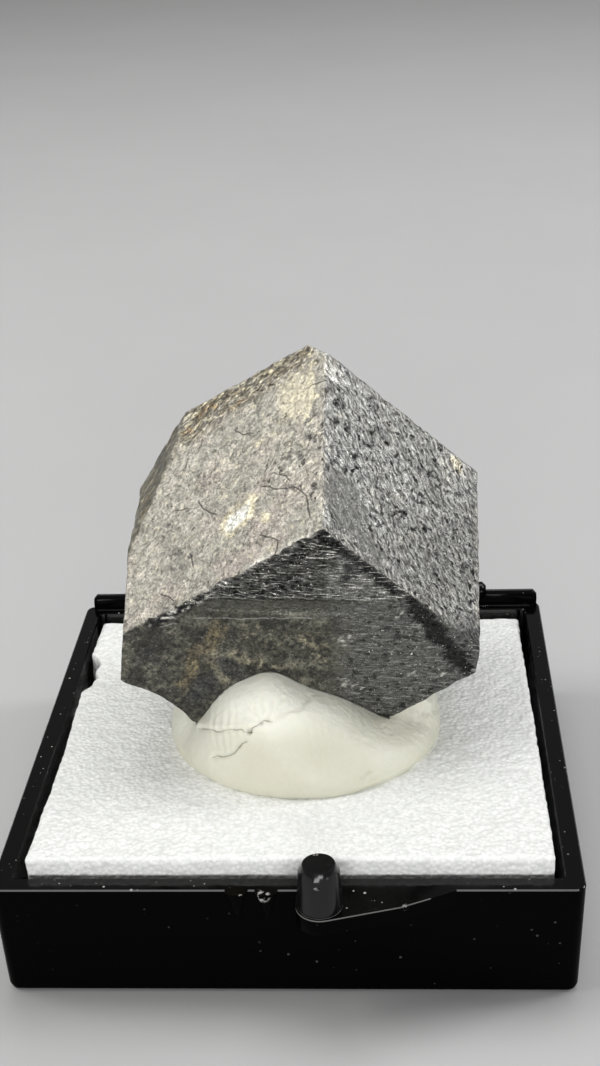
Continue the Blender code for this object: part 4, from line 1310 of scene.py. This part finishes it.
def box_finish(name, shine, roughness, grey):
    """Black moulded plastic with a little dust, most of it on what faces up, and a painted highlight
    line on the ledge.
    """
    material, shader, place = new_material(name)
    normal = output(place.tree, "ShaderNodeNewGeometry", "Normal")
    x, y, z = parts_of("XYZ", Vector=place)
    up = parts_of("XYZ", Vector=normal)[2]
    lying = spread(up, 0.3, 0.9, 0.12, 1.0)
    upright = spread(up, 0.3, 0.6, 1.0, 0.0)
    where = spread(grain(place, 160.0, 2.0), 0.42, 0.62)
    dust_and_highlight = most(specks(place, 3300.0, 0.07, 0.22) * lying * where,
                specks(place, 6500.0, 0.05, 0.3) * spread(lying, 0.15, 1.0) * where)

    # A fine painted highlight line along the top of the front wall's ledge.
    ledge_highlight = spread(z, *LEDGE_HIGHLIGHT[:2]) * upright * spread(z, *LEDGE_HIGHLIGHT[2:], 1.0, 0.0)
    dust_and_highlight = most(dust_and_highlight, ledge_highlight * spread(y, *LEDGE_FRONT, 0.33, 0.0))
    scratch = spread(grain(place, 1.0, 2.0, 0.6, (2500.0, 4000.0, 2500.0)), 0.5, 0.6)
    for centre, radius in SCUFFS:
        near = spread(vectors("DISTANCE", place, centre), 0.6 * radius, radius, 1.0, 0.0)
        dust_and_highlight = most(dust_and_highlight, near * scratch)
    # The walls shine more on their inner sides, beside the foam.
    half, front, top = BOX_INSIDE
    inner = maths("LESS_THAN", abs(x), half) * upright * maths("LESS_THAN", front, y)
    inner = inner * maths("LESS_THAN", z, top) * 0.6
    wipe = grain(place, 300.0, 4.0, 0.7)
    give(shader, Base_Color=blend(dust_and_highlight, (grey, grey, 1.05 * grey), (0.45, 0.44, 0.42)),
         Roughness=spread(wipe, 0.3, 0.75, roughness, roughness + 0.12),
         Specular_IOR_Level=most(spread(up, 0.2, 0.8, shine, max(shine, 0.25)), inner),
         Normal=bump(wipe, 0.2, 0.00003))
    return material


def build_box():
    """The black moulding with every edge eased a little, so that it catches the light; the eased front
    edges on top that face up are painted pale, a painted highlight.
    """
    source = bpy.data.objects["box_base"]
    box = bpy.data.objects.new("black_box_base", source.data.copy())
    bpy.context.collection.objects.link(box)
    deselect_all()
    box.select_set(True)
    bpy.context.view_layer.objects.active = box
    box.data.name = "black_box_base"
    start_edit()
    bpy.ops.mesh.remove_doubles(threshold=0.000001)
    bpy.ops.mesh.dissolve_limited(angle_limit=math.radians(0.6))
    bpy.ops.object.mode_set(mode="OBJECT")
    box.data.transform(Matrix.Scale(1 / MM, 4))
    box.data.materials.clear()
    for name, *finish in BOX_FINISHES:
        box.data.materials.append(box_finish(name, *finish))
    use_modifier(box, "BEVEL", width=0.14, segments=3, limit_method="ANGLE",
                 angle_limit=math.radians(38), material=1, use_clamp_overlap=True)
    for side in box.data.polygons:
        _, y, z = side.center
        # Painted highlight: eased edges at the front top that face up toward the lamps get the pale
        # plastic.
        highlighted = 0.5 < side.normal.z < 0.87 and y < BOX_FRONT + 0.6 and z > BOX_HEIGHT - 0.2
        side.material_index = 1 if highlighted else 2 if z > BOX_HEIGHT + 0.03 and y < 0 else 0
    box.data.transform(Matrix.Scale(MM, 4))
    box.data.shade_smooth()
    use_modifier(box, "WEIGHTED_NORMAL", weight=90)
    stand_in(box, "box_base")


def build_floor():
    deselect_all()
    bpy.ops.mesh.primitive_plane_add(size=4.0)
    floor = named("floor")
    material, shader, place = new_material("pale floor")
    tint = grain(place, 30.0, 3.0, 0.6)
    colour = blend(tint, (0.50, 0.50, 0.505), (0.54, 0.54, 0.545))
    give(shader, Base_Color=colour, Roughness=0.9, Specular_IOR_Level=0.2)
    floor.data.materials.append(material)


make_camera()
make_studio()
build_floor()
build_crystal()
build_putty()
build_foam()
build_box()
